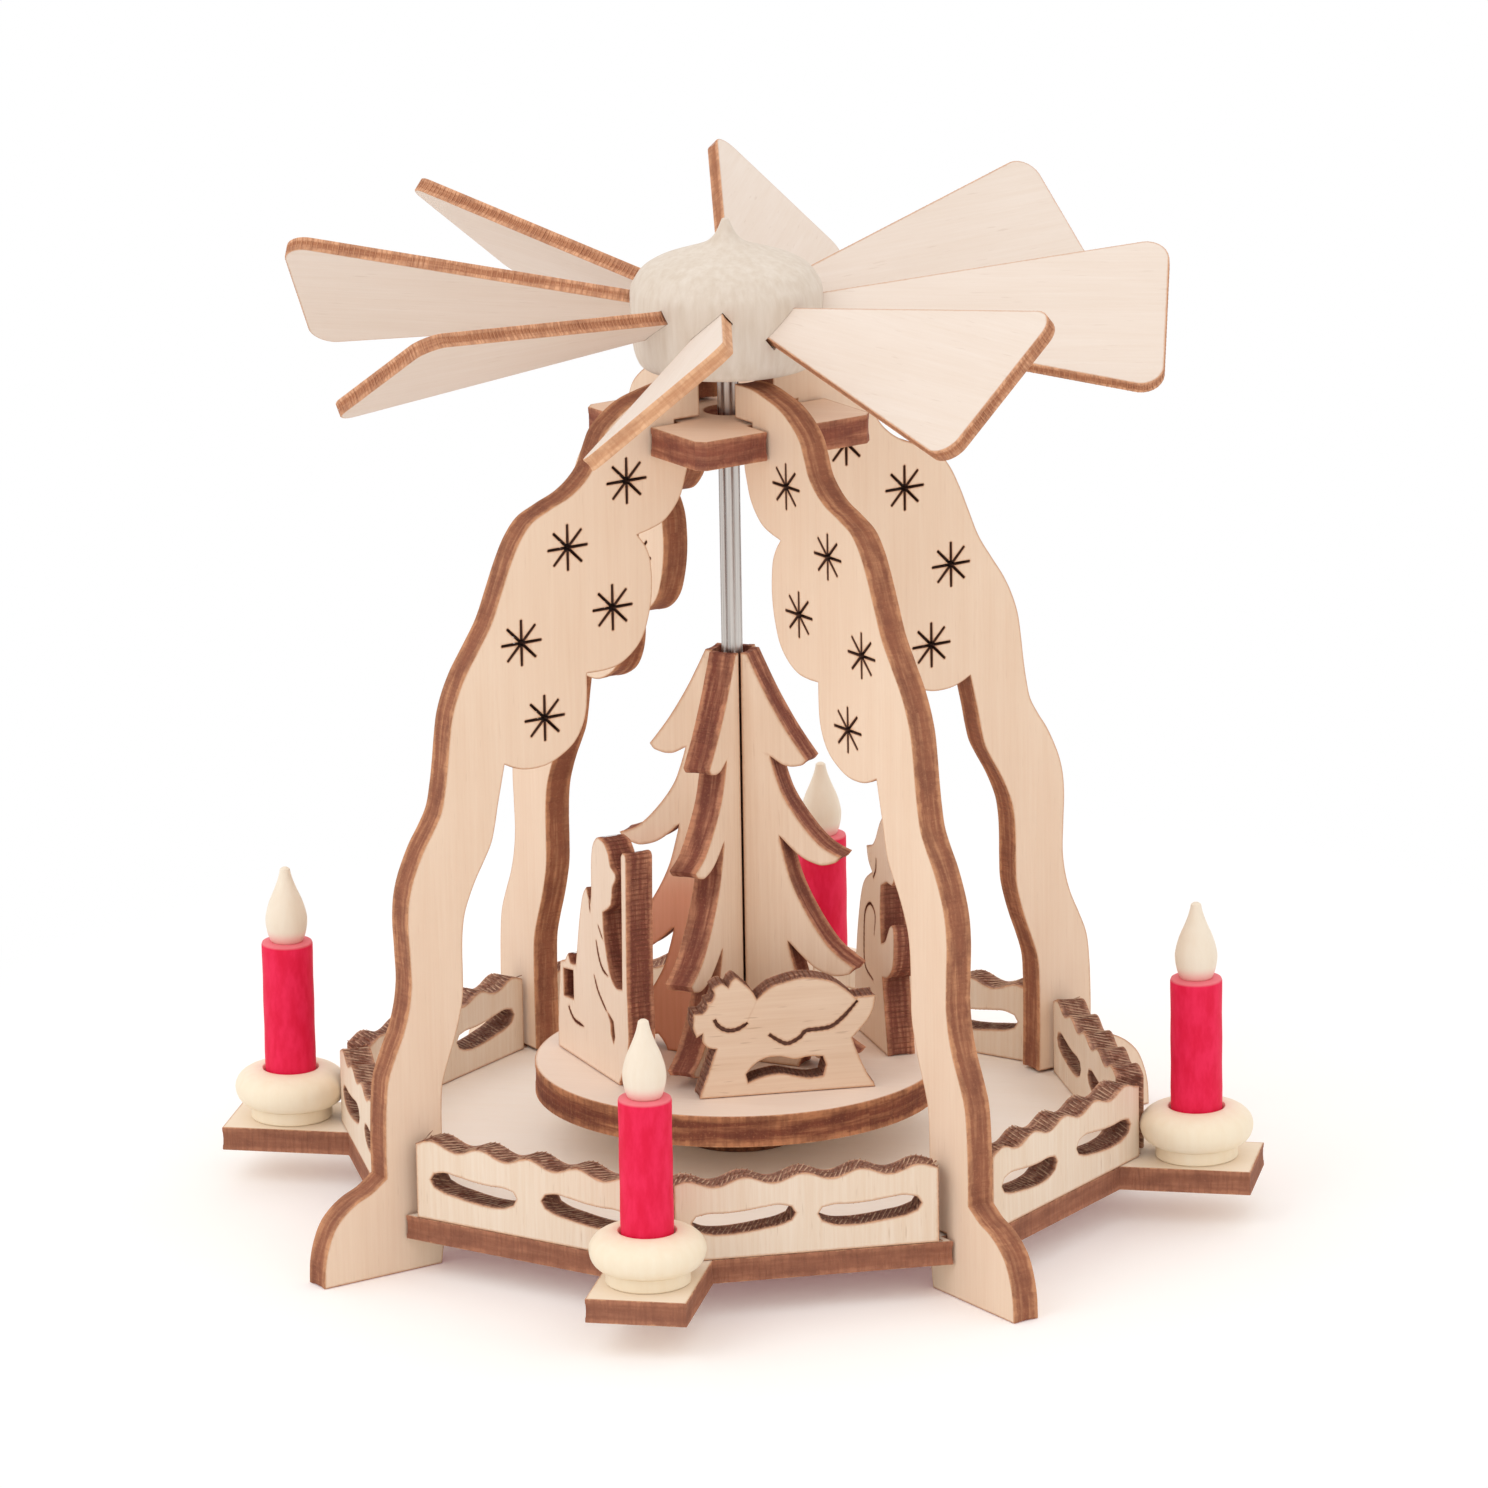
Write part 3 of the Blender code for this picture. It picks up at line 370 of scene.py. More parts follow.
def shaded(name, roughness, metallic=0.0, gloss=0.3, uv_map=None):
    """A new material, its shader, and its coordinates: a map's, or else the object's own."""
    made = bpy.data.materials.new(name)
    made.use_nodes = True
    shader = made.node_tree.nodes["Principled BSDF"]
    feed(shader, {"Roughness": roughness, "Metallic": metallic, "Specular IOR Level": 0.5 if metallic else gloss})
    if uv_map:
        return made, shader, wire(made.node_tree, "ShaderNodeUVMap", "UV", uv_map=uv_map)
    return made, shader, wire(made.node_tree, "ShaderNodeTexCoord", "Object")


def attribute(tree, name):
    """A number that the mesh carries at its vertices."""
    return wire(tree, "ShaderNodeAttribute", "Fac", attribute_name=name)


def relief(height, depth):
    """The normal of small relief from a height, with its depth in metres."""
    return wire(height.tree, "ShaderNodeBump", "Normal", {"Height": height, "Distance": depth, "Strength": 1.0})


def face_finish(name, veneer, rim_tone_and_painted_light=False, painted_shade=False):
    """Birch with its halo beside the cuts. A darker, yellower rim is partly painted light, and painted shade
    browns a board low down.
    """
    made, shader, flat = shaded("birch face of " + name, 0.62, uv_map="board")
    along = flat
    if veneer.upright:
        quarter = {"Vector": flat, "Rotation": (0, 0, math.radians(90))}
        along = wire(flat.tree, "ShaderNodeMapping", "Vector", quarter)
    grain = use(birch_grain, {"Coordinates": along, "Light": veneer.light, "Dark": veneer.dark,
                              "Grain": veneer.grain, "Blotch": veneer.blotch, "Flecks": veneer.flecks})
    colour = use(laser_halo, {"Coordinates": flat, "Color": grain["Color"], "Scorch": SCORCH,
                              "Distance": attribute(flat.tree, "cut_distance"), "Reach": veneer.halo,
                              "Strength": 0.75})["Color"]
    if rim_tone_and_painted_light:
        # partly painted light: darker and yellower towards the rim, so that the shaded middle stays paler
        colour = mix(fade(length(flat), *RIM_TONE_AND_PAINTED_LIGHT_REACH), colour, RIM_TONE_AND_PAINTED_LIGHT, "MULTIPLY")
    if painted_shade:
        # painted shade: browner low down, where the staff figure and the front half tree shade this side
        shade_height = axis(flat, "Y") + noise(flat, 0.12, 3.0) * 5.0
        colour = mix(1.0 - fade(shade_height, *PAINTED_SHADE_REACH), colour, PAINTED_SHADE_BROWN, "MULTIPLY")
    feed(shader, {"Base Color": colour, "Normal": relief(grain["Height"], FACE_RELIEF)})
    return made


def edge_finish(name, edge):
    """The burnt wall of a cut."""
    made, shader, flat = shaded("burnt edge of " + name, 0.75, gloss=0.12, uv_map="board")
    core, outer, char = edge.burn
    burnt = use(burnt_ply, {"Coordinates": flat, "Ply": edge.ply, "Core Share": edge.core_share, "Core": core,
                            "Outer": outer, "Char": char, "Rim": RIM_ORANGE, "Ticks": edge.ticks,
                            "Tick Pitch": edge.pitch})
    feed(shader, {"Base Color": burnt["Color"], "Normal": relief(burnt["Height"], EDGE_RELIEF)})
    return made


board_finishes = {kind: (face_finish(kind, VENEERS[kind], rim_tone_and_painted_light=kind == "base"), edge_finish(kind, edge))
                  for kind, edge in EDGES.items()}
# the left half tree's seen side, with its painted shade
painted_shade_tree_finish = face_finish("smoked tree", VENEERS["tree"], painted_shade=True)
charred_finish, shader, spot = shaded("charred cut", 0.85, gloss=0.08)
feed(shader, {"Base Color": mix(noise(spot, 2500.0), (0.110, 0.058, 0.045), (0.240, 0.125, 0.092))})
print("board finishes:", ", ".join(board_finishes))

# %% [markdown]
# ## Reading a board's outline from the CAD
#
# A flat board is fully known by its outline and its thickness. The CAD node is loose triangles, so a copy
# is merged, its two large faces are found by their area, and the edge of one of them gives the outline and
# the holes. The board's own axes are X along it, Y up or across it, and Z out of its front face.

# %% Read a board
SAME_POINT = 0.001 * MM
SAME_WAY = 0.999
FLAT, UPRIGHT = 0.98, 0.02


def board_axes(mesh, front):
    """The directions along, across and out of a board whose front faces that way."""
    areas = {}
    for face in mesh.faces:
        key = tuple(round(c, 2) + 0.0 for c in face.normal)
        area, way = areas.get(key, (0.0, Vector()))
        areas[key] = (area + face.calc_area(), way + face.normal * face.calc_area())
    widest = max(areas.values(), key=lambda pair: pair[0])[1].normalized()
    out = widest if widest.dot(front) > 0 else -widest
    if abs(out.z) > FLAT:
        along = Vector((1, 0, 0))
    elif abs(out.z) < UPRIGHT:
        along = UP.cross(out)
    else:
        middle = sum((v.co for v in mesh.verts), Vector()) / len(mesh.verts)
        along = Vector((middle.x, middle.y, 0))
        along -= out * along.dot(out)
    along.normalize()
    return along, out.cross(along), out


def ring_area(ring):
    """Signed area of a closed ring: positive when it runs anticlockwise."""
    x, y = ring[:, 0], ring[:, 1]
    return 0.5 * float(np.sum(x * np.roll(y, -1) - np.roll(x, -1) * y))


def read_board(name, front):
    """The loops (in mm, wood on the left), axes and thickness of a CAD board whose front faces that way."""
    mesh = bmesh.new()
    mesh.from_mesh(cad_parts[name].data)
    bmesh.ops.remove_doubles(mesh, verts=mesh.verts[:], dist=SAME_POINT)
    along, across, out = board_axes(mesh, front)
    heights = [v.co.dot(out) for v in mesh.verts]
    follows = {}
    for face in mesh.faces:
        if face.normal.dot(out) < SAME_WAY:
            continue
        for loop in face.loops:
            other = loop.link_loop_radial_next
            if other is loop or other.face.normal.dot(out) < SAME_WAY:
                follows[loop.vert.index] = (loop.link_loop_next.vert.index, loop.vert.co.copy())
    mesh.free()
    loops = []
    while follows:
        spot, points = min(follows), []
        while spot in follows:
            spot, place = follows.pop(spot)
            points.append((place.dot(along) / MM, place.dot(across) / MM))
        loops.append(np.array(points))
    loops.sort(key=lambda ring: -abs(ring_area(ring)))
    return {"name": name, "loops": loops, "along": along, "across": across, "out": out,
            "middle": (min(heights) + max(heights)) / 2, "ply": (max(heights) - min(heights)) / MM}


sample = read_board("leg_front_left", Vector((1, -1, 0)))
print("a leg:", len(sample["loops"]), "loops,", len(sample["loops"][0]), "outline points, ply",
      round(sample["ply"], 2))

# %% [markdown]
# ## Smooth curves through the outline
#
# The CAD draws curves with few points. Here each stretch between two real corners becomes a smooth curve
# again: every point gets the direction of the circle through it and its neighbours, and long straight
# sides stay straight. The result is sampled finely, because the edge is going to carry relief.

# %% Smooth and sample a ring
CORNER_TURN = math.radians(33)
LONG_SIDE = 3.0
WALL_STEP = 0.3
SHORTEST_MITRE, LONGEST_STRETCH = 0.5, 1.6


def unit(vectors):
    """The vectors made 1 long."""
    return vectors / np.maximum(np.hypot(*vectors.T), 1e-9)[:, None]


def sides_of(ring):
    """The way from each point of a closed ring to the next."""
    return np.roll(ring, -1, 0) - ring


def left_of(ways):
    """The directions to the left of some ways."""
    return np.stack([-ways[:, 1], ways[:, 0]], 1)


def inward(ring):
    """Unit directions into the wood at each point of a ring, and how much a mitre stretches them."""
    left = left_of(unit(sides_of(ring)))
    both = left + np.roll(left, 1, 0)
    size = np.maximum(np.hypot(*both.T), SHORTEST_MITRE)
    return both / size[:, None], np.minimum(2 / size, LONGEST_STRETCH)


def fine_ring(ring):
    """The ring with curves made smooth, as points at most a step apart, in mm."""
    after = unit(sides_of(ring))
    before = np.roll(after, 1, 0)
    lengths = np.hypot(*sides_of(ring).T)
    lengths_before = np.roll(lengths, 1)
    corner = np.arccos(np.clip(np.sum(before * after, 1), -1, 1)) > CORNER_TURN
    smooth = before * lengths[:, None] + after * lengths_before[:, None]
    for spot, (size, size_before) in enumerate(zip(lengths, lengths_before)):
        if size > LONG_SIDE * max(1.0, size_before):
            smooth[spot] = after[spot]
        elif size_before > LONG_SIDE * max(1.0, size):
            smooth[spot] = before[spot]
    smooth = unit(smooth)
    points = []
    for spot, size in enumerate(lengths):
        following = (spot + 1) % len(ring)
        start = (after if corner[spot] else smooth)[spot] * size
        end = (after[spot] if corner[following] else smooth[following]) * size
        pieces = max(1, math.ceil(size / WALL_STEP))
        for t in (piece / pieces for piece in range(pieces)):
            points.append(ring[spot] * (2 * t ** 3 - 3 * t ** 2 + 1) + ring[following] * (3 * t ** 2 - 2 * t ** 3)
                          + start * (t ** 3 - 2 * t ** 2 + t) + end * (t ** 3 - t ** 2))
    return np.array(points)


print("a leg's outline:", len(sample["loops"][0]), "points before,", len(fine_ring(sample["loops"][0])), "after")

# %% [markdown]
# ## Filling a board's faces
#
# The faces need vertices close to every cut so that the scorch halo is sharp, and few elsewhere. Rows of
# points at fixed distances from the cut are laid down, those that come too near another cut are dropped,
# and a constrained Delaunay fill joins them.

# %% Fill the faces
# each row's distance from the cut, and which of the ring's points it follows
HALO_ROWS = {0.14: 1, 0.32: 2, 0.62: 2}
OPEN_SPACING, OPEN_ROOM = 3.2, 1.1
KEEP_APART = 0.88
POINTS_AT_ONCE = 800


def distance_to_cuts(points, rings):
    """Distance of each point from the nearest ring."""
    starts = np.concatenate(rings)
    way = np.concatenate([sides_of(ring) for ring in rings])
    size = np.maximum(np.sum(way * way, 1), 1e-12)
    nearest = np.empty(len(points))
    for first in range(0, len(points), POINTS_AT_ONCE):
        some = slice(first, first + POINTS_AT_ONCE)
        offset = points[some, None, :] - starts
        share = np.clip(np.sum(offset * way, 2) / size, 0, 1)
        gap = offset - share[..., None] * way
        nearest[some] = np.sqrt(np.sum(gap * gap, 2).min(1))
    return nearest


def in_wood(points, rings):
    """Which points are inside the outline and outside every hole."""
    starts = np.concatenate(rings)
    ends = np.concatenate([np.roll(ring, -1, 0) for ring in rings])
    run, rise = (ends - starts).T
    slope = run / np.where(rise == 0, 1.0, rise)
    inside = np.empty(len(points), bool)
    for first in range(0, len(points), POINTS_AT_ONCE):
        some = slice(first, first + POINTS_AT_ONCE)
        x, y = points[some, 0:1], points[some, 1:2]
        spans = (starts[:, 1] > y) != (ends[:, 1] > y)
        inside[some] = np.sum(spans & (x < starts[:, 0] + (y - starts[:, 1]) * slope), 1) % 2 == 1
    return inside


def closed_edges(first, count):
    """Pairs of numbers that join a ring of points, from the first one on, into a closed line."""
    return [(first + k, first + (k + 1) % count) for k in range(count)]


def fill(rings):
    """The wood between rings: points, distances, triangles, and where each of the rings' points went."""
    rows, edges = [], []
    for ring in rings:
        edges += closed_edges(len(edges), len(ring))
        for row, every in HALO_ROWS.items():
            kept = (ring + inward(ring)[0] * row)[::every]
            rows.append(np.column_stack([kept, np.full(len(kept), row)]))
    low, high = rings[0].min(0), rings[0].max(0)
    grid = [(x, y, OPEN_ROOM) for row, y in enumerate(np.arange(low[1], high[1], OPEN_SPACING))
            for x in np.arange(low[0] + (row % 2) * OPEN_SPACING / 2, high[0], OPEN_SPACING)]
    free = np.concatenate([*rows, np.reshape(grid, (-1, 3))])
    free = free[in_wood(free[:, :2], rings)]
    free = free[distance_to_cuts(free[:, :2], rings) > KEEP_APART * free[:, 2]][:, :2]
    points = [Vector(point) for point in np.concatenate([*rings, free])]
    found, _, triangles, origins, *_ = geometry.delaunay_2d_cdt(points, edges, [], 0, 1e-6)
    found, triangles = np.array([tuple(point) for point in found]), np.array(triangles)
    triangles = triangles[in_wood(found[triangles].mean(1), rings)]
    (x1, y1), (x2, y2) = ((found[triangles[:, k]] - found[triangles[:, 0]]).T for k in (1, 2))
    face_down = x1 * y2 - y1 * x2 < 0
    triangles[face_down] = triangles[face_down][:, ::-1]
    homes = {old: new for new, olds in enumerate(origins) for old in olds}
    return found, distance_to_cuts(found, rings), triangles, homes


print("a leg's face:", len(fill([fine_ring(loop) for loop in sample["loops"]])[2]), "triangles")

# %% [markdown]
# ## Stars and uneven walls
#
# In the photo the stars in the legs are eight thin burnt lines that cross, so each star-shaped hole is
# redrawn as rays of even width. A cut wall is never quite flat: it gets rows through the thickness with a
# tiny chamfer, the middle ply set back a little, and slow ripples. Everything stays inside the CAD outline.

# %% Star rays and wall rows
STAR_SET_BACK, STAR_HALF_RAY = 0.15, 0.16
RAY_NECK, RAY_TAPER = 0.97, 0.8
CHAMFER, WALL_SET_BACK, RIPPLE = 0.06, 0.05, 0.04
CORE_EDGE, CORE_SET_BACK, CORE_MIDDLE_SET_BACK = 0.5, 0.09, 0.11
FRONT, EDGE, CHARRED, BACK = range(4)


def star_cut(loop):
    """A star's rays as the laser cuts them: thin lines of even width that cross at the middle."""
    centre = loop.mean(0)
    spokes = loop - centre
    reach = np.hypot(*spokes.T)
    tips = [k for k in range(len(loop)) if reach[k] > reach.mean()]
    waist = STAR_HALF_RAY / math.tan(math.pi / len(tips))
    half_ray = STAR_HALF_RAY if ring_area(loop) > 0 else -STAR_HALF_RAY
    points = []
    for spoke, out in zip(spokes[tips], unit(spokes[tips])):
        side = np.array([-out[1], out[0]]) * half_ray
        neck = centre + spoke * RAY_NECK
        points += [centre + out * waist - side, neck - side * RAY_TAPER, centre + spoke, neck + side * RAY_TAPER]
    return np.array(points)


def ripple(travel, depth, seed):
    """Slow unevenness of a cut wall, from 0 to 1."""
    return 0.5 + 0.25 * np.sin(travel * 1.9 + seed) + 0.25 * np.sin(travel * 3.1 + 2 * seed + depth)


def wall_rows(half):
    """Rows from the back (-1) to the front (1) of a wall, with how far each lies behind the outline."""
    upper = [(CORE_EDGE, CORE_SET_BACK), (0.62, WALL_SET_BACK), (1 - CHAMFER / half, WALL_SET_BACK),
             (1, CHAMFER + WALL_SET_BACK)]
    return [*((-row, back) for row, back in reversed(upper)), (0.0, CORE_MIDDLE_SET_BACK), *upper]


class Mesh:
    """Collects the points, faces, map and distances of one piece, in mm on the board."""

    def __init__(self):
        self.points, self.distance, self.faces, self.flat, self.finish = [], [], [], [], []

    def add(self, spots, height, distance=0.0):
        """Add points at a height over the board's middle, and give the number of the first."""
        self.points += [(x, y, height) for x, y in spots]
        self.distance += list(np.broadcast_to(distance, len(spots)))
        return len(self.points) - len(spots)

    def face(self, corners, flat, finish):
        """Add a face with its corners' places on the map and its finish."""
        self.faces.append(corners)
        self.flat += flat
        self.finish.append(finish)


def add_wall(made, ring, half, seed, is_star):
    """One cut's wall: the first points of its rows, and the ring where it meets the faces."""
    way, stretch = inward(ring)
    travel = np.concatenate([[0], np.cumsum(np.hypot(*sides_of(ring).T))])
    size = STAR_SET_BACK if is_star else 1.0
    rows, starts = wall_rows(half), []
    for row, back in rows:
        uneven = RIPPLE * ripple(travel[:-1], row * 2, seed) if abs(row) < 0.9 else 0.0
        spots = ring + way * (stretch * (back + uneven) * size)[:, None]
        starts.append(made.add(spots, row * half))
    for low, high, (y_low, _), (y_high, _) in zip(starts, starts[1:], rows, rows[1:]):
        for k, following in closed_edges(0, len(ring)):
            flat = [(travel[k + on], y * half) for on, y in ((0, y_low), (1, y_low), (1, y_high), (0, y_high))]
            corners = (low + k, low + following, high + following, high + k)
            made.face(corners, flat, CHARRED if is_star else EDGE)
    return starts, spots


print("rows through the wall:", len(wall_rows(sample["ply"] / 2)))

# %% [markdown]
# ## Engraved lines
#
# The figures' folds and the sleeping face are lines burnt into the front. A dark stripe painted on would
# be quick, but the photo shows a real furrow, so each line is cut: its two banks follow a smooth centre
# line, the ends taper, and a floor lies a little below the face.

# %% Groove banks, walls and floor
GROOVE_DEPTH, GROOVE_STEP = 0.4, 0.22
GROOVE_TAPER = 5
FLOOR_SHARE = 0.25
MAP_STEP = 0.2


def smooth_line(points, step):
    """A smooth open curve through the points, sampled about a step apart."""
    points = [np.array(p, float) for p in points]
    chain = [2 * points[0] - points[1], *points, 2 * points[-1] - points[-2]]
    line = []
    for p, q, r, s in zip(chain, chain[1:], chain[2:], chain[3:]):
        pieces = max(1, math.ceil(float(np.hypot(*(r - q))) / step))
        for t in (piece / pieces for piece in range(pieces)):
            line.append(q + (r - p) * t / 2 + (2 * p - 5 * q + 4 * r - s) * t ** 2 / 2
                        + (3 * q - p - 3 * r + s) * t ** 3 / 2)
    return np.array([*line, points[-1]])


def groove_ring(banks):
    """A groove's two banks as one ring."""
    return np.concatenate([banks[0], banks[1][::-1]])


def groove(points, width, start_share, end_share):
    """Banks of a line burnt along the points, in mm, that thins out towards its ends."""
    line = smooth_line(points, GROOVE_STEP)
    place = np.linspace(0, 1, len(line))
    start = start_share + (1 - start_share) * np.clip(place * GROOVE_TAPER, 0, 1)
    end = end_share + (1 - end_share) * np.clip((1 - place) * GROOVE_TAPER, 0, 1)
    burnt = 1 + 0.16 * np.sin(np.arange(len(line)) * 2.1)
    side = left_of(unit(np.gradient(line, axis=0))) * (width / 2 * start * end * burnt)[:, None]
    banks = line + side, line - side
    wood_on_the_left = ring_area(groove_ring(banks)) <= 0
    return banks if wood_on_the_left else banks[::-1]


def add_groove(made, banks, rim, half):
    """Walls from the rim down to the floor, and the floor between the banks."""
    count = len(banks[0])
    ring = groove_ring(banks)
    middle = (banks[0] + banks[1]) / 2
    middle = np.concatenate([middle, middle[::-1]])
    bottom = made.add(ring * (1 - FLOOR_SHARE) + middle * FLOOR_SHARE, half - GROOVE_DEPTH)
    for k, following in closed_edges(0, len(ring)):
        x, x_following = k * MAP_STEP, following * MAP_STEP
        made.face((rim[following], rim[k], bottom + k, bottom + following),
                  [(x_following, 0.5), (x, 0.5), (x, 0.0), (x_following, 0.0)], EDGE)
    for k in range(count - 1):
        x, far = k * MAP_STEP, bottom + 2 * count - 1 - k
        made.face((bottom + k + 1, bottom + k, far, far - 1), [(x, 0.1), (x, 0.0), (x, 0.0), (x, 0.1)], EDGE)


print("groove depth:", GROOVE_DEPTH, "mm")

# %% [markdown]
# ## Building a board
#
# A board could be an extruded outline, but then its faces would have no vertices for the halo and its
# walls no relief. So the walls are laid first, one for each cut, and each face is filled between the rings
# where the walls end. The finished mesh is carried from the board's own axes to its place in the frame.

# %% Build a board
SHARP = math.radians(38)
SAME_LEVEL = 0.02


def board_rings(board, stars, rest_down, close_in):
    """The board's cuts as fine rings, let down onto what it rests on and closed in on its inner side."""
    rings = [fine_ring(star_cut(loop) if number in stars else loop) for number, loop in enumerate(board["loops"])]
    for coordinate, shift in ((1, rest_down), (0, close_in)):
        values = rings[0][:, coordinate]
        values[values < values.min() + SAME_LEVEL] -= shift
    return rings


def add_face(made, side, half, walls, grooves):
    """Fill the front (1) or the back (-1) between the walls, with any grooves cut in it."""
    points, distance, triangles, homes = fill([*(ring for _, ring in walls), *map(groove_ring, grooves)])
    numbers, total = {}, 0
    for starts, ring in walls:
        first = starts[-1] if side > 0 else starts[0]
        numbers.update({homes[total + k]: first + k for k in range(len(ring))})
        total += len(ring)
    extra = [k for k in range(len(points)) if k not in numbers]
    first = made.add(points[extra], side * half, distance[extra])
    numbers.update({old: first + new for new, old in enumerate(extra)})
    for triangle in triangles[:, ::side]:
        made.face(tuple(numbers[k] for k in triangle), [tuple(points[k]) for k in triangle],
                  FRONT if side > 0 else BACK)
    for banks in grooves:
        size = 2 * len(banks[0])
        add_groove(made, banks, [numbers[homes[total + k]] for k in range(size)], half)
        total += size


def build_board(name, board, rings, finishes, grooves=(), stars=()):
    """Make the board's piece: burnt walls, fine faces and any engraved grooves in its front."""
    made, half = Mesh(), board["ply"] / 2
    seed = sum(ord(letter) for letter in name) % 17
    walls = [add_wall(made, ring, half, seed, number in stars) for number, ring in enumerate(rings)]
    add_face(made, -1, half, walls, ())
    add_face(made, 1, half, walls, grooves)
    axes = np.array([board["along"], board["across"], board["out"]])
    places = (np.array(made.points) * MM) @ axes + axes[2] * board["middle"]
    data = bpy.data.meshes.new(name)
    data.from_pydata(places.tolist(), [], made.faces)
    for finish in finishes:
        data.materials.append(finish)
    data.polygons.foreach_set("material_index", made.finish)
    data.uv_layers.new(name="board").data.foreach_set("uv", np.array(made.flat, np.float32).ravel())
    near = data.attributes.new("cut_distance", "FLOAT", "POINT")
    near.data.foreach_set("value", np.array(made.distance, np.float32))
    data.shade_smooth()
    data.set_sharp_from_angle(angle=SHARP)
    data.update()
    return add_object(name, data)


print("a board has", len((FRONT, EDGE, CHARRED, BACK)), "finishes: front, edge, charred cuts and back")

# %% [markdown]
# ## The boards of the standing frame
#
# Legs, base plate, top plate and the eight fences take their outlines from the CAD. What seats on another
# board is let down by the CAD's glue gap, so that no light shows under it. The fences' cuts lean, because
# the laser moved on while it burnt.

# %% Frame boards
GLUE_GAP = 0.24
FENCE_OFF_CORNER, FENCE_LEAN = 22.5, 0.45
LEG_AZIMUTHS = {"front_left": 225, "front_right": 315, "back_right": 45, "back_left": 135}
STARS = (1, 2, 3, 4, 5)
SHARED_SLOTS = {"manger": "figure_plywood", "front_blade": "blade_plywood"}
boards_made = {"frame": [], "rotor": []}


def take_place(piece, node_name, body, slot):
    """Let a piece ride on its body in place of the CAD's node."""
    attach(piece, body)
    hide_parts(node_name)


def dress_board(name, kind, body, front, grooves=None, stars=(), rest_down=0.0, close_in=0.0, lean=0.0,
                back=None):
    """Build the board's piece in place of its CAD node, and keep its cut lines for the ridges."""
    board = read_board(name, front)
    rings = board_rings(board, stars, rest_down, close_in)
    face, edge = board_finishes[kind]
    engraved = grooves(board) if grooves else ()
    piece = build_board(name + "_board", board, rings, (face, edge, charred_finish, back or face), engraved, stars)
    take_place(piece, name, body, SHARED_SLOTS.get(kind, kind + "_plywood"))
    boards_made[body].append((board, rings, lean, kind))


for place, azimuth in LEG_AZIMUTHS.items():
    dress_board("leg_" + place, "leg", "frame", way_of(azimuth + 90), stars=STARS)
    for letter, off in (("a", FENCE_OFF_CORNER), ("b", -FENCE_OFF_CORNER)):
        dress_board(f"fence_{place}_{letter}", "fence", "frame", way_of(azimuth + off), rest_down=GLUE_GAP,
                    lean=FENCE_LEAN)
dress_board("base_plate", "base", "frame", UP)
dress_board("top_plate", "top", "frame", UP)
print("frame boards:", len(boards_made["frame"]))

# %% [markdown]
# ## The boards of the rotor
#
# The round disc, the four half trees, the manger, the two figures and the eight blades turn together. The
# engraved lines are measured along each cut-out's seen face and up from the disc. The left half tree's back
# side is browned low down: painted shade, where the staff figure and the front half tree shade it.

# %% Rotor boards
DISC_TOP = 14.9
TREE_AZIMUTHS = {"right": -14.5, "front": -104.5, "left": 165.5, "back": 75.5}
TREE_CLOSE_IN = 0.18
FRONT_BLADE = 7

# each line: its points, its width, and the share of the width left at its start and its end
MANGER_LINES = [
    ([(1.9, 8.5), (2.3, 7.8), (3.2, 7.25), (4.3, 7.3), (5.4, 7.9)], 0.42, 0.8, 0.6),
    ([(7.6, 6.5), (8.4, 5.9), (9.3, 5.4), (10.0, 5.5), (10.9, 6.0), (11.5, 6.6), (13.0, 6.7), (14.2, 6.9),
      (15.3, 7.7), (16.2, 8.6), (16.95, 9.45)], 0.42, 0.8, 0.6),
]
STAFF_LINES = [
    ([(10.4, 14.3), (11.1, 12.6), (12.0, 11.6), (13.3, 11.2)], 0.32, 0.5, 0.2),
    ([(9.7, 10.4), (10.6, 9.0), (11.9, 7.9), (12.75, 7.3)], 0.30, 0.3, 0.6),
    ([(2.9, 5.2), (3.6, 4.5), (4.6, 4.05), (6.8, 4.0)], 0.34, 0.9, 0.15),
    ([(11.0, 16.1), (11.6, 15.4), (12.1, 14.9)], 0.22, 0.3, 0.3),
    ([(8.55, 18.6), (8.8, 18.2), (9.0, 17.0)], 0.22, 0.5, 0.2),
]
KNEELER_LINES = [
    ([(4.3, 12.1), (3.9, 14.4), (5.5, 15.2), (7.3, 13.8), (7.8, 10.6), (7.5, 7.9), (4.8, 7.0)], 0.30, 0.3, 0.6),
    ([(3.3, 20.7), (3.5, 19.4), (4.4, 18.3)], 0.28, 0.4, 0.8),
]
# by cut-out: kind of board, lower corner of the seen face, azimuths along that face and out of it, lines
CUT_OUTS = {
    "manger": ("manger", (-1.25, -15.95, 0), 22.2, -67.8, MANGER_LINES),
    "figure_with_staff": ("figure", (-19.37, 0.47, 0), -54.3, -144.3, STAFF_LINES),
    "kneeling_figure": ("figure", (15.58, 1.46, 0), 118, 208, KNEELER_LINES),
}


def lines_on(corner, azimuth, lines):
    """What engraves the lines along a seen face from its corner, once the board's own axes are known."""

    def engrave(board):
        start = Vector(corner).dot(board["along"])
        sign = way_of(azimuth).dot(board["along"])
        return [groove([(start + x * sign, DISC_TOP + y) for x, y in points], *shape) for points, *shape in lines]

    return engrave


dress_board("turntable", "turntable", "rotor", UP)
# the left half tree's back side carries the painted shade
for place, azimuth in TREE_AZIMUTHS.items():
    dress_board("tree_" + place, "tree", "rotor", way_of(azimuth - 90), rest_down=GLUE_GAP, close_in=TREE_CLOSE_IN,
                back=painted_shade_tree_finish if place == "left" else None)
for name, (kind, corner, along_azimuth, front_azimuth, lines) in CUT_OUTS.items():
    dress_board(name, kind, "rotor", way_of(front_azimuth), lines_on(corner, along_azimuth, lines),
                rest_down=GLUE_GAP)
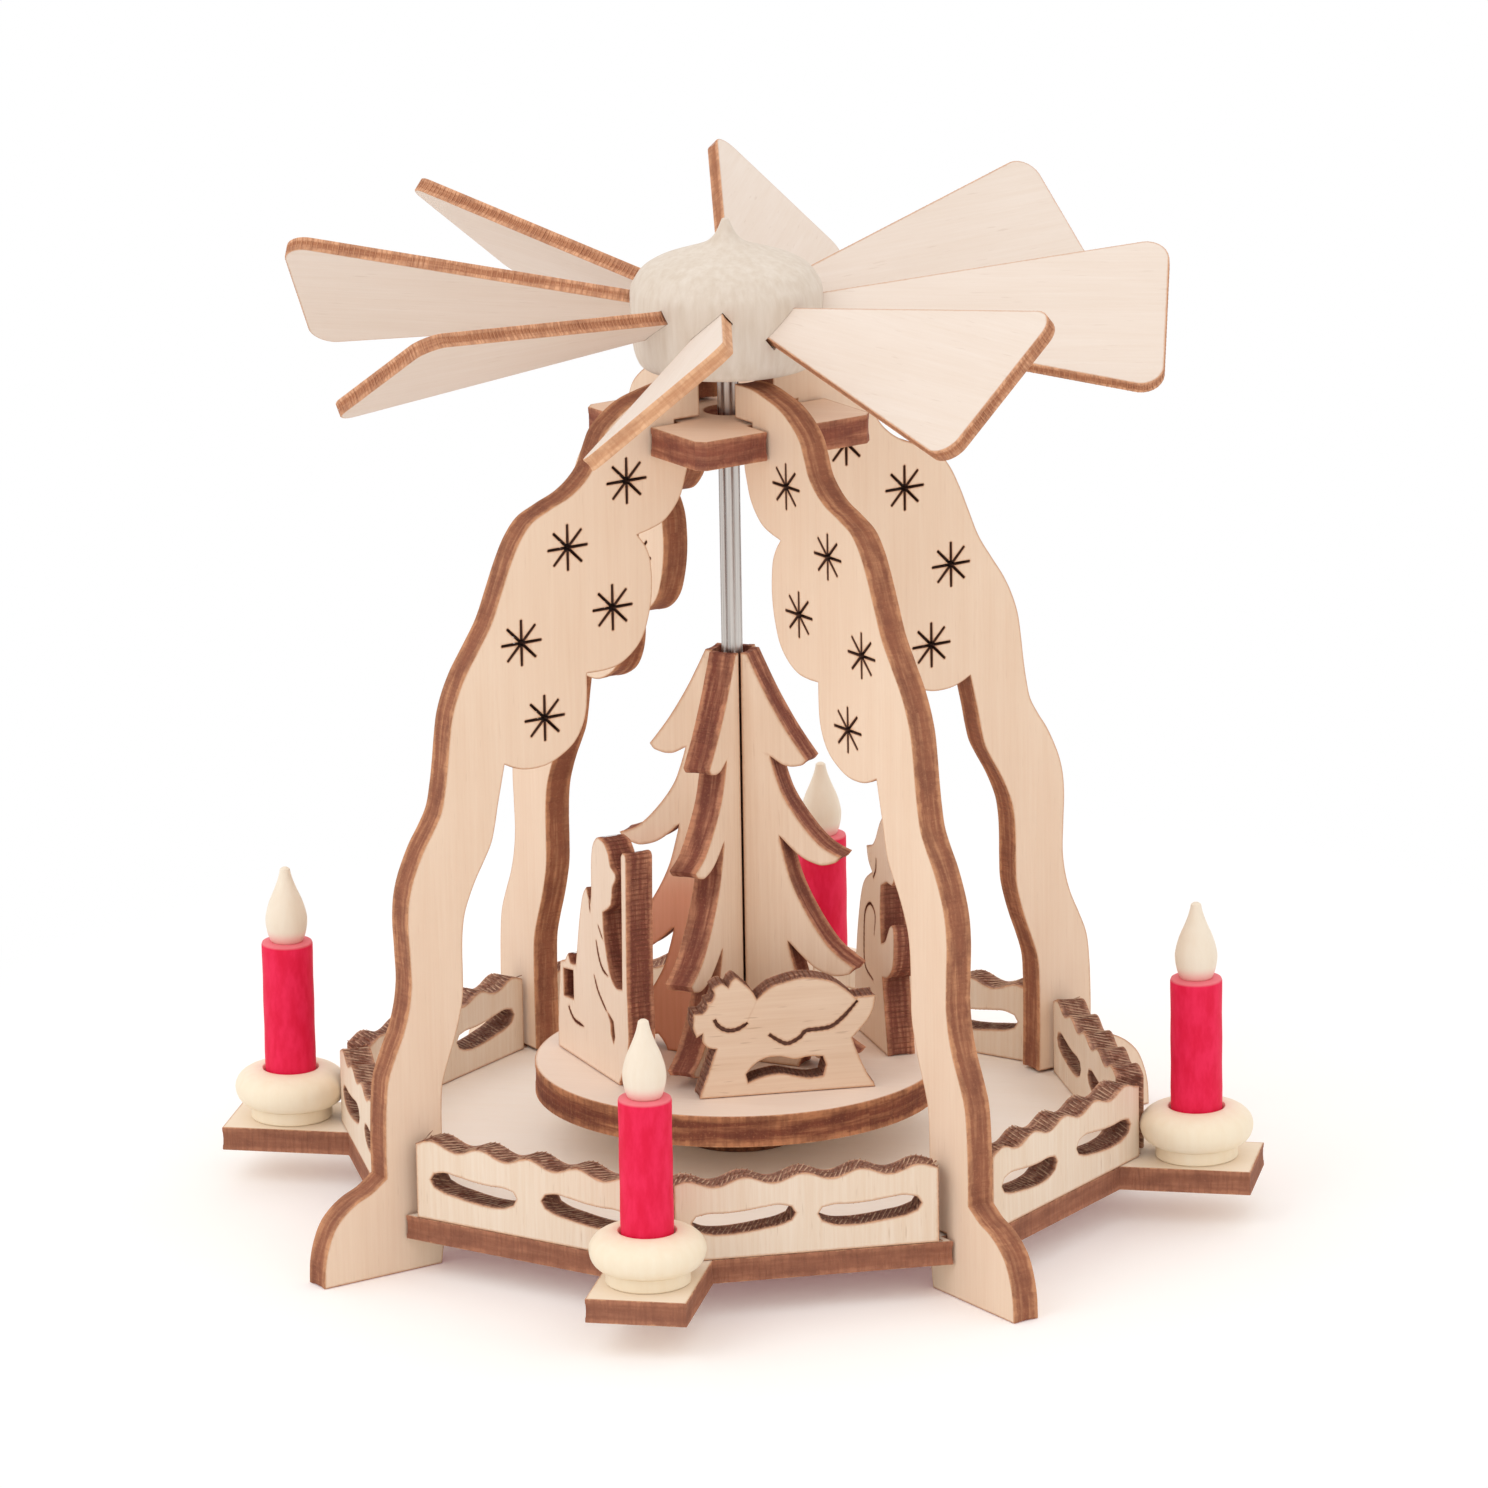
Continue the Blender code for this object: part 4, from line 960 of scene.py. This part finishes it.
# the blade at the front takes the paler edges of painted light
for number in range(1, 9):
    dress_board(f"blade_{number}", "front_blade" if number == FRONT_BLADE else "blade", "rotor", UP)
print("rotor boards:", len(boards_made["rotor"]))

# %% [markdown]
# ## Ridges left by the laser, with Geometry Nodes
#
# The laser cuts in pulses, and each pulse leaves a small upright ridge on the wall, clearest on the fences,
# where it leans, and on the thin blades. Thousands of equal ridges along a path suit Geometry Nodes: the
# cut lines become curves, a resampling spaces the points, a six-sided rod is placed on each, and the points
# carry the wall's directions and the board's thickness. The tree ends in Realize Instances and Set
# Material, and the result is baked to a mesh.

# %% Material of the ridges
ridge_finish, shader, spot = shaded("charred ridges", 0.75, gloss=0.12)
patches = noise(spot, 900.0, 3.0)
ply_place, bare = attribute(spot.tree, "ply_place"), attribute(spot.tree, "bare")
outer_ply = fade(ply_place + (patches - 0.5) * 0.6, 0.62, 0.90)
banded = mix(outer_ply, (0.200, 0.070, 0.042), (0.42, 0.190, 0.105))
toasted = mix(calc("MULTIPLY", bare, -1.0, clamp=True), banded, (0.58, 0.290, 0.165))
bare_share = calc("MULTIPLY", bare, fade(patches, 0.36, 0.60), clamp=True)
feed(shader, {"Base Color": mix(bare_share, toasted, (0.58, 0.39, 0.275))})
print("material:", ridge_finish.name)

# %% The ridge tree
SMALLEST_RIDGE, LARGEST_RIDGE = 0.55, 1.0
ridge_tree, take, give = group(
    "laser ridges",
    {"Geometry": ["Cut Lines"], "Float": ["Spacing", "Ridge Width", "Ridge Height"], "Int": ["Seed"],
     "Material": ["Finish"]},
    {"Geometry": ["Ridges"]}, "GeometryNodeTree")


def step(kind, feeds=None, output=0, **settings):
    """One step of the ridge tree."""
    return wire(ridge_tree, kind, output, feeds, **settings)


def carried(name, kind="FLOAT"):
    """An attribute that the cut lines carry."""
    return step("GeometryNodeInputNamedAttribute", {"Name": name}, data_type=kind)


curves = step("GeometryNodeMeshToCurve", {0: take["Cut Lines"]})
spaced = step("GeometryNodeResampleCurve", {"Curve": curves, "Length": take["Spacing"]}, mode="LENGTH")
rod = step("GeometryNodeMeshCylinder", {"Vertices": 6, "Side Segments": 4, "Radius": 0.5, "Depth": 1.0}, "Mesh")
from_middle = calc("ABSOLUTE", axis(step("GeometryNodeInputPosition"), "Z")) * 2.0
marked = step("GeometryNodeStoreNamedAttribute", {"Geometry": rod, "Name": "ply_place", "Value": from_middle},
              data_type="FLOAT", domain="POINT")
stand = step("FunctionNodeAlignRotationToVector", {"Vector": carried("through", "FLOAT_VECTOR")}, axis="Z")
turned = step("FunctionNodeAlignRotationToVector",
              {"Rotation": stand, "Vector": carried("outwards", "FLOAT_VECTOR")}, axis="X", pivot_axis="Z")
chance = step("FunctionNodeRandomValue", {2: SMALLEST_RIDGE, 3: LARGEST_RIDGE, "Seed": take["Seed"]}, 1,
              data_type="FLOAT")
own_size = chance * carried("ridge_size")
size = step("ShaderNodeCombineXYZ", {"X": take["Ridge Height"] * own_size, "Y": take["Ridge Width"] * own_size,
                                     "Z": carried("ply")})
placed = step("GeometryNodeInstanceOnPoints",
              {"Points": spaced, "Instance": marked, "Rotation": turned, "Scale": size})
real = step("GeometryNodeRealizeInstances", {0: placed})
feed(give, {"Ridges": step("GeometryNodeSetMaterial", {"Geometry": real, "Material": take["Finish"]})})
print("geometry nodes:", ridge_tree.name, "with inputs", ", ".join(take))

# %% [markdown]
# ## Ridges of each body
#
# The ridges of the standing frame and those of the rotor must be able to turn apart, so the tree runs once
# for each. Its input is a mesh of bare edges along the cuts, which carry their directions as attributes.

# %% Cut lines and baked ridges
RIDGE_SHARE_OF_PLY = 0.93
RIDGE_SIZES = {"Spacing": 0.55 * MM, "Ridge Width": 0.19 * MM, "Ridge Height": 0.095 * MM, "Finish": ridge_finish}
# by body: the seed of its ridges, and the material slot that they share
RIDGED_BODIES = {"frame": (7, "base_plywood"), "rotor": (8, "blade_plywood")}
# by kind of board: size of the ridges, and how bare (1), charred (0) or only toasted (-1) they are
RIDGED = {"fence": (1.0, 0.9), "manger": (0.9, 0.2), "figure": (0.5, 0.0), "blade": (0.6, -1.0)}


def cut_lines(name, made):
    """One mesh of edges along every cut of a body, with the directions the ridges need."""
    points, edges = [], []
    layers = {"through": [], "outwards": [], "ply": [], "ridge_size": [], "bare": []}
    for board, rings, lean, kind in made:
        if kind not in RIDGED:
            continue
        axes, out = np.array([board["along"], board["across"]]), np.array(board["out"])
        ply = board["ply"] * MM * RIDGE_SHARE_OF_PLY * math.hypot(1, lean)
        for ring in rings:
            way, stretch = inward(ring)
            spots = (ring + way * (stretch * WALL_SET_BACK)[:, None]) * MM
            edges += closed_edges(len(points), len(ring))
            points += (spots @ axes + out * board["middle"]).tolist()
            layers["through"] += (out + lean * (unit(sides_of(ring)) @ axes)).tolist()
            layers["outwards"] += (-way @ axes).tolist()
            for label, value in zip(("ply", "ridge_size", "bare"), (ply, *RIDGED[kind])):
                layers[label] += [value] * len(ring)
    data = bpy.data.meshes.new(name)
    data.from_pydata(points, edges, [])
    for label, values in layers.items():
        values = np.array(values, np.float32)
        kind, field = ("FLOAT", "value") if values.ndim == 1 else ("FLOAT_VECTOR", "vector")
        data.attributes.new(label, kind, "POINT").data.foreach_set(field, values.ravel())
    return data


def applied(source):
    """A plain mesh of what the object's modifiers make of it."""
    return bpy.data.meshes.new_from_object(source.evaluated_get(bpy.context.evaluated_depsgraph_get()))


identifiers = {item.name: item.identifier for item in ridge_tree.interface.items_tree}
for body, (seed, slot) in RIDGED_BODIES.items():
    source = add_object("cut_lines_" + body, cut_lines("cut lines " + body, boards_made[body]))
    maker = source.modifiers.new("ridges", "NODES")
    maker.node_group = ridge_tree
    for label, value in {**RIDGE_SIZES, "Seed": seed}.items():
        maker[identifiers[label]] = value
    ridges = add_object("laser_ridges_" + body, applied(source))
    source.modifiers.remove(maker)
    bpy.data.objects.remove(source)
    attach(ridges, body)
    print("ridges on the", body + ":", len(ridges.data.polygons), "faces")

# %% [markdown]
# ## Turned wood and metal
#
# Rings, candles, flames, hub, bearing block, cup and shaft were all made on a lathe: each is one profile
# turned about its own axis. The helper closes the profile on the axis and keeps sharp only real edges.

# %% Effect: turned grain, and the lathe
ON_AXIS = 1e-6
LATHE_SHARP = math.radians(40)
DRAWN_STEP = 0.25
turned_grain, take, give = group(
    "turned grain", {"Vector": ["Coordinates"], "Color": ["Light", "Dark"], "Float": ["Grain", "Scale"]},
    {"Color": ["Color"], "Float": ["Height"]})
fibres = noise(stretched(take["Coordinates"], (1900, 1900, 190)), take["Scale"], 4.0, 0.6)
clouds = noise(take["Coordinates"], 260.0)
tone = (fibres - 0.5) * 2.8 + (clouds - 0.5)
share = calc("ADD", tone * take["Grain"], 0.35, clamp=True)
feed(give, {"Color": mix(share, take["Light"], take["Dark"]), "Height": fibres})


def lathe(name, profile, steps, finish, place=(0, 0, 0)):
    """A solid turned about the vertical axis through a place, from (radius, height) points in mm."""
    circle = [(math.cos(math.tau * k / steps), math.sin(math.tau * k / steps)) for k in range(steps)]
    points, rows, faces = [], [], []
    for radius, height in profile:
        ring = circle if radius > ON_AXIS else [(0, 0)]
        rows.append([len(points) + k % len(ring) for k in range(steps)])
        points += [(place[0] + radius * MM * x, place[1] + radius * MM * y, place[2] + height * MM)
                   for x, y in ring]
    for low, high in zip(rows, rows[1:]):
        for k, following in closed_edges(0, steps):
            corners = [low[k], low[following], high[following], high[k]]
            faces.append([c for spot, c in enumerate(corners) if corners.index(c) == spot])
    data = bpy.data.meshes.new(name)
    data.from_pydata(points, [], faces)
    data.materials.append(finish)
    data.shade_smooth()
    data.set_sharp_from_angle(angle=LATHE_SHARP)
    return add_object(name, data)


def rounded(profile):
    """A smooth profile through drawn points."""
    return [tuple(p) for p in smooth_line(profile, DRAWN_STEP)]


print("effect:", turned_grain.name)

# %% [markdown]
# ## Finishes of the turned pieces
#
# Rings, flames and hub are bare wood with upright fibres. The flames' feet are dyed by the candles' paint,
# which is matt and paler on the upper rim. Shaft and cup are plain metals with fine tool marks; the shaft's
# light and dark streaks along its length are partly painted reflections.

# %% Materials of the turned pieces
FINE_RELIEF, RAW_RELIEF = 0.01 * MM, 0.03 * MM
DYED_FOOT = (25.6 * MM, 27.0 * MM)
PALE_RIM = (25.05 * MM, 25.35 * MM)


def turned_finish(name, light, dark, grain, scale, roughness, depth, dyed=False):
    """Turned wood with upright fibres, and a red foot where it is dyed."""
    made, shader, spot = shaded(name, roughness)
    wood = use(turned_grain, {"Coordinates": spot, "Light": light, "Dark": dark, "Grain": grain, "Scale": scale})
    colour = wood["Color"]
    if dyed:
        colour = mix((1.0 - fade(axis(spot, "Z"), *DYED_FOOT)) * 0.75, colour, (0.86, 0.45, 0.42))
    feed(shader, {"Base Color": colour, "Normal": relief(wood["Height"], depth)})
    return made


ring_finish = turned_finish("turned ring wood", (0.94, 0.865, 0.71), (0.87, 0.73, 0.53), 0.30, 0.5, 0.45,
                            FINE_RELIEF)
hub_finish = turned_finish("raw turned hub wood", (0.76, 0.695, 0.625), (0.61, 0.515, 0.42), 0.48, 0.7, 0.75,
                           RAW_RELIEF)
flame_finish = turned_finish("flame wood", (0.89, 0.82, 0.71), (0.81, 0.685, 0.54), 0.35, 0.5, 0.55,
                             FINE_RELIEF, dyed=True)

candle_finish, shader, spot = shaded("red candle paint", 0.6, gloss=0.2)
brushed = noise(spot, (900, 900, 320), 4.0, 0.6)
paint = mix(fade(brushed, 0.3, 0.72), (0.76, 0.007, 0.055), (0.86, 0.021, 0.094))
# paler towards the top rim
pale_rimmed = mix(fade(axis(spot, "Z"), *PALE_RIM) * 0.6, paint, (0.86, 0.33, 0.36))
feed(shader, {"Base Color": pale_rimmed, "Normal": relief(brushed, FINE_RELIEF)})

block_finish, shader, spot = shaded("burnt block edge", 0.75)
burnt = noise(spot, (1400, 1400, 500), 4.0, 0.7)
feed(shader, {"Base Color": mix(fade(burnt, 0.3, 0.75), (0.08, 0.03, 0.018), (0.26, 0.11, 0.05)),
              "Normal": relief(burnt, EDGE_RELIEF)})

brass_finish, shader, spot = shaded("brass cup", 0.3, metallic=1.0)
feed(shader, {"Base Color": mix(noise(spot, (700, 700, 4000)), (0.70, 0.50, 0.22), (0.86, 0.68, 0.36))})

steel_finish, shader, spot = shaded("drawn steel", 0.28, metallic=1.0)
# partly painted reflection: light and dark streaks along the shaft stand in for the studio's reflections, besides
# fine drawing marks
drawn = noise(spot, (1500, 1500, 14), 3.0, 0.6)
feed(shader, {"Base Color": mix(fade(drawn, 0.38, 0.62), (0.34, 0.305, 0.285), (0.70, 0.655, 0.61)),
              "Roughness": drawn * 0.6})
print("turned finishes ready")

# %% [markdown]
# ## Candles, rings and flames
#
# Each candle stands in a turned ring with a round bead, and its wooden flame is pegged into its top. The
# same three profiles serve all four places, turned about each candle's own axis. Heights are in
# millimetres above the floor.

# %% Candles, rings and flames
CANDLE_AZIMUTHS = {"right": 0, "back": 90, "left": 180, "front": 270}
CANDLE_CENTRE_R = 48.3
RING_FOOT, RING_RADIUS, RING_BOTTOM, RING_TOP = 4.3, 5.9, 6.17, 11.6
BEAD_LOW, BEAD_INNER, BEAD_STEPS = 7.65, 3.3, 16
SOCKET_MOUTH, SOCKET_RADIUS, SOCKET_FLOOR = 3.0, 2.85, 9.6
CANDLE_FOOT, CANDLE_RADIUS, CANDLE_BOTTOM, CANDLE_TOP = 2.6, 2.7, 9.62, 25.45
CANDLE_STEPS, CANDLE_WAVE = 12, 0.04
PEG_HOLE, PEG_HOLE_DEPTH = 1.15, 1.7
PEG_RADIUS, PEG_LENGTH = 0.9, 1.4
FLAME_BOTTOM, FLAME_TOP = 25.46, 33.5
FLAME_SIDE = [(1.67, 0.0), (1.75, 0.12), (2.02, 0.9), (2.2, 2.1), (2.1, 3.1), (1.72, 4.4), (1.2, 5.6), (0.82, 6.6),
              (0.62, 7.3)]


def ring_profile():
    """A foot, a round bead, and the socket the candle stands in, closed on the axis."""
    middle, half = (BEAD_LOW + RING_TOP) / 2, (RING_TOP - BEAD_LOW) / 2
    bead = []
    for k in range(1, BEAD_STEPS + 1):
        angle = -math.pi / 2 + math.pi * k / BEAD_STEPS
        inner = RING_FOOT if angle < 0 else BEAD_INNER
        bead.append((inner + (RING_RADIUS - inner) * math.cos(angle), middle + half * math.sin(angle)))
    return [(0, RING_BOTTOM), (RING_FOOT - 0.15, RING_BOTTOM), (RING_FOOT, RING_BOTTOM + 0.15),
            (RING_FOOT - 0.05, BEAD_LOW - 0.12), (RING_FOOT - 0.25, BEAD_LOW), *bead,
            (SOCKET_MOUTH, RING_TOP - 0.05), (SOCKET_RADIUS, RING_TOP - 0.25), (SOCKET_RADIUS, SOCKET_FLOOR),
            (0, SOCKET_FLOOR)]


def candle_profile():
    """A straight stick with softly rounded ends and the bore for the flame's peg."""
    side = []
    for share in (k / CANDLE_STEPS for k in range(1, CANDLE_STEPS)):
        wave = CANDLE_WAVE * math.sin(share * 9 + 1) ** 2
        side.append((CANDLE_RADIUS - wave, CANDLE_BOTTOM + share * (CANDLE_TOP - CANDLE_BOTTOM)))
    return [(0, CANDLE_BOTTOM), (CANDLE_FOOT, CANDLE_BOTTOM), (CANDLE_RADIUS, CANDLE_BOTTOM + 0.1), *side,
            (CANDLE_RADIUS, CANDLE_TOP - 0.35), (CANDLE_RADIUS - 0.08, CANDLE_TOP - 0.12),
            (CANDLE_RADIUS - 0.35, CANDLE_TOP), (PEG_HOLE, CANDLE_TOP - 0.02),
            (PEG_HOLE, CANDLE_TOP - PEG_HOLE_DEPTH), (0, CANDLE_TOP - PEG_HOLE_DEPTH)]


def flame_profile():
    """The flame's peg, round belly and blunt tip."""
    return [(0, FLAME_BOTTOM - PEG_LENGTH), (PEG_RADIUS, FLAME_BOTTOM - PEG_LENGTH), (PEG_RADIUS, FLAME_BOTTOM),
            *((radius, FLAME_BOTTOM + height) for radius, height in rounded(FLAME_SIDE)),
            (0.52, FLAME_TOP - 0.22), (0.3, FLAME_TOP - 0.05), (0, FLAME_TOP)]


# by node: profile, steps round, finish, material slot
CANDLE_PARTS = {
    "candle_holder_": (ring_profile(), 72, ring_finish, "holder_wood"),
    "candle_": (candle_profile(), 48, candle_finish, "candle_red"),
    "flame_": (flame_profile(), 40, flame_finish, "flame_wood"),
}
for place, azimuth in CANDLE_AZIMUTHS.items():
    centre = way_of(azimuth) * CANDLE_CENTRE_R * MM
    for part, (profile, steps, finish, slot) in CANDLE_PARTS.items():
        take_place(lathe(part + place + "_turned", profile, steps, finish, centre), part + place, "frame", slot)
print("candles with their rings and flames:", len(CANDLE_AZIMUTHS))

# %% [markdown]
# ## Hub
#
# The hub's bell shape is one smooth profile. Its eight slanted slots are cut by thin slabs that take
# their place and tilt from the blades themselves, with a Boolean that is applied at once.

# %% Hub with its slots
HUB_BOTTOM = 89.1
HUB_BORE, HUB_BORE_DEPTH = 1.35, 9.0
HUB_SIDE = [(8.7, 0), (9.1, 0.4), (9.6, 1.9), (9.82, 4.8), (9.87, 7.75), (9.35, 9), (8.6, 10), (7.1, 10.9),
            (5.1, 11.6), (3.2, 12.2), (1.85, 12.8), (1, 13.7), (0.35, 15.1)]
SLOT_OUTER, SLOT_HALF, SLOT_SIDE, SLOT_DEEPER = 20.0, 2.24, 0.78, 0.25
HUB_SHARP = math.radians(35)
BOX_FACES = [(3, 2, 1, 0), (4, 5, 6, 7), (0, 1, 5, 4), (1, 2, 6, 5), (2, 3, 7, 6), (3, 0, 4, 7)]


def slot_cutter(board, ring):
    """A slab round a blade's tang, a little deeper and wider than it."""
    low, high = ring.min(0), ring.max(0)
    centre, inner = (low[1] + high[1]) / 2, low[0] - SLOT_DEEPER
    corners = []
    for z in (-SLOT_SIDE, SLOT_SIDE):
        for x, y in ((inner, -SLOT_HALF), (SLOT_OUTER, -SLOT_HALF), (SLOT_OUTER, SLOT_HALF), (inner, SLOT_HALF)):
            corners.append(board["along"] * x * MM + board["across"] * (centre + y) * MM
                           + board["out"] * (board["middle"] + z * MM))
    slab = bpy.data.meshes.new("slot cutter")
    slab.from_pydata(corners, [], BOX_FACES)
    return add_object("slot cutter", slab)


hub_profile = [(0, HUB_BORE_DEPTH), (HUB_BORE, HUB_BORE_DEPTH), (HUB_BORE, 0), (8.55, 0), *rounded(HUB_SIDE),
               (0.2, 15.18), (0, 15.2)]
hub = lathe("hub_turned", [(radius, HUB_BOTTOM + height) for radius, height in hub_profile], 128, hub_finish)
cutters = [slot_cutter(board, rings[0]) for board, rings, *_ in boards_made["rotor"]
           if board["name"].startswith("blade")]
for cutter in cutters:
    cut = hub.modifiers.new("slot", "BOOLEAN")
    cut.operation, cut.object = "DIFFERENCE", cutter
carved = applied(hub)
hub.modifiers.clear()
hub.data = carved
hub.data.set_sharp_from_angle(angle=HUB_SHARP)
for cutter in cutters:
    bpy.data.objects.remove(cutter)
print("hub:", len(hub.data.polygons), "faces after", len(cutters), "slots")

# %% [markdown]
# ## Shaft and bearing
#
# The steel shaft ends in a point that turns in a brass cup, and a round plywood block holds the cup. The
# shaft's ends are read from the CAD, and the rest are plain profiles on the same lathe.

# %% Shaft, block and cup
SHAFT_RADIUS, SHAFT_POINT, SHAFT_POINT_RADIUS = 1.1, 1.0, 0.12
BLOCK_RADIUS, BLOCK_BOTTOM, BLOCK_TOP = 6.1, 6.17, 11.2
BLOCK_WAIST, CUP_HOLE, CUP_HOLE_FLOOR = 6.0, 2.65, 7.6
CUP_RADIUS, CUP_BOTTOM, CUP_TOP, CUP_BORE = 2.4, 7.85, 10.85, 1.45
CUP_BEVEL = 0.1

shaft_low, shaft_high = (corner.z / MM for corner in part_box("shaft"))
shaft = lathe("shaft_turned", [
    (0, shaft_low), (SHAFT_POINT_RADIUS, shaft_low), (SHAFT_RADIUS, shaft_low + SHAFT_POINT),
    *((SHAFT_RADIUS, height) for height in np.linspace(20, 85, 6)), (SHAFT_RADIUS, shaft_high), (0, shaft_high),
], 48, steel_finish)
block = lathe("bearing_block_turned", [
    (0, BLOCK_BOTTOM), (BLOCK_WAIST, BLOCK_BOTTOM), (BLOCK_RADIUS, BLOCK_BOTTOM + 0.1), (BLOCK_WAIST, 7.8),
    (BLOCK_WAIST, 9.6), (BLOCK_RADIUS, BLOCK_TOP - 0.1), (BLOCK_WAIST, BLOCK_TOP), (CUP_HOLE, BLOCK_TOP),
    (CUP_HOLE, CUP_HOLE_FLOOR), (0, CUP_HOLE_FLOOR),
], 64, block_finish)
cup = lathe("pivot_cup_turned", [
    (0, CUP_BOTTOM), (CUP_RADIUS - CUP_BEVEL, CUP_BOTTOM), (CUP_RADIUS, CUP_BOTTOM + CUP_BEVEL),
    (CUP_RADIUS, CUP_TOP - CUP_BEVEL), (CUP_RADIUS - CUP_BEVEL, CUP_TOP), (CUP_BORE + CUP_BEVEL, CUP_TOP),
    (CUP_BORE, CUP_TOP - CUP_BEVEL), (CUP_BORE, 9.85), (0, 8.85),
], 48, brass_finish)
take_place(hub, "hub", "rotor", "hub_wood")
take_place(shaft, "shaft", "rotor", "shaft_steel")
take_place(block, "bearing_block", "frame", "block_plywood")
take_place(cup, "pivot_cup", "frame", "cup_brass")
print("shaft:", round(shaft_high - shaft_low, 1), "mm long")

# %% [markdown]
# ## Studio
#
# The ornament stands on white in soft light from all round and above, as in a tent, with one weak lamp
# from the front left. The floor is a white board that takes the object's shadow: where the camera looks at
# it, part of its white is its own, so that it reads as white in full light and only warms and darkens in
# the shade. The world is plain white to the camera and to reflections.

# %% Floor, world and lamp
FLOOR_HALF = 3.0
WHITE, BLACK = (1, 1, 1), (0, 0, 0)
SHADE_SHAPE, SHADE_REACH = (1.35, 1.0, 1.0), (0.062, 0.155)
FLOOR_LIT, FLOOR_OWN, FLOOR_PLAIN = (0.89, 1.0, 1.0), (0.15, 0.04, 0.05), (0.92, 0.91, 0.90)
SKY, HORIZON_LIGHT, ZENITH_LIGHT = (1, 0.955, 0.91), 0.93, 1.12
LAMP_PLACE, LAMP_TARGET = Vector((-0.45, -0.50, 0.62)), Vector((0, 0, 0.04))
LAMP_SIZE, LAMP_POWER = 0.60, 1.0


def surface(tree, unseen, seen, output):
    """End a tree with one shader for what is seen directly or in a reflection, and one for all other light."""
    path = node(tree, "ShaderNodeLightPath").outputs
    looked_at = calc("MAXIMUM", calc("MAXIMUM", Wire(path["Is Camera Ray"]), Wire(path["Is Glossy Ray"])),
                     Wire(path["Is Transmission Ray"]))
    node(tree, output, {"Surface": wire(tree, "ShaderNodeMixShader", 0, {0: looked_at, 1: unseen, 2: seen})})


floor_mesh = bpy.data.meshes.new("studio floor")
corners = [(x * FLOOR_HALF, y * FLOOR_HALF, 0) for x, y in ((-1, -1), (1, -1), (1, 1), (-1, 1))]
floor_mesh.from_pydata(corners, [], [(0, 1, 2, 3)])
add_object("studio_floor", floor_mesh)
floor_finish = bpy.data.materials.new("studio floor")
floor_finish.use_nodes = True
floor_mesh.materials.append(floor_finish)
tree = floor_finish.node_tree
tree.nodes.clear()
spot = stretched(wire(tree, "ShaderNodeTexCoord", "Object"), SHADE_SHAPE)
far = fade(length(spot), *SHADE_REACH)
lit = wire(tree, "ShaderNodeBsdfDiffuse", 0, {"Color": mix(far, FLOOR_LIT, BLACK)})
own = wire(tree, "ShaderNodeEmission", 0, {"Color": mix(far, FLOOR_OWN, WHITE), "Strength": 1.0})
plain = wire(tree, "ShaderNodeBsdfDiffuse", 0, {"Color": FLOOR_PLAIN})
surface(tree, plain, wire(tree, "ShaderNodeAddShader", 0, {0: lit, 1: own}), "ShaderNodeOutputMaterial")

world = bpy.data.worlds.new("studio")
bpy.context.scene.world = world
world.use_nodes = True
tree = world.node_tree
tree.nodes.clear()
way_up = axis(wire(tree, "ShaderNodeTexCoord", "Generated"), "Z")
strength = fade(way_up, 0.1, 0.8) * (ZENITH_LIGHT - HORIZON_LIGHT) + HORIZON_LIGHT
light = wire(tree, "ShaderNodeBackground", 0, {"Color": SKY, "Strength": strength})
white = wire(tree, "ShaderNodeBackground", 0, {"Color": WHITE, "Strength": 1.0})
surface(tree, light, white, "ShaderNodeOutputWorld")

lamp = bpy.data.lights.new("key softbox", "AREA")
lamp.size, lamp.energy = LAMP_SIZE, LAMP_POWER
holder = add_object("key softbox", lamp)
holder.location = LAMP_PLACE
holder.rotation_euler = (LAMP_TARGET - LAMP_PLACE).to_track_quat("-Z", "Y").to_euler()
print("studio: light from the horizon", HORIZON_LIGHT, "and from above", ZENITH_LIGHT)
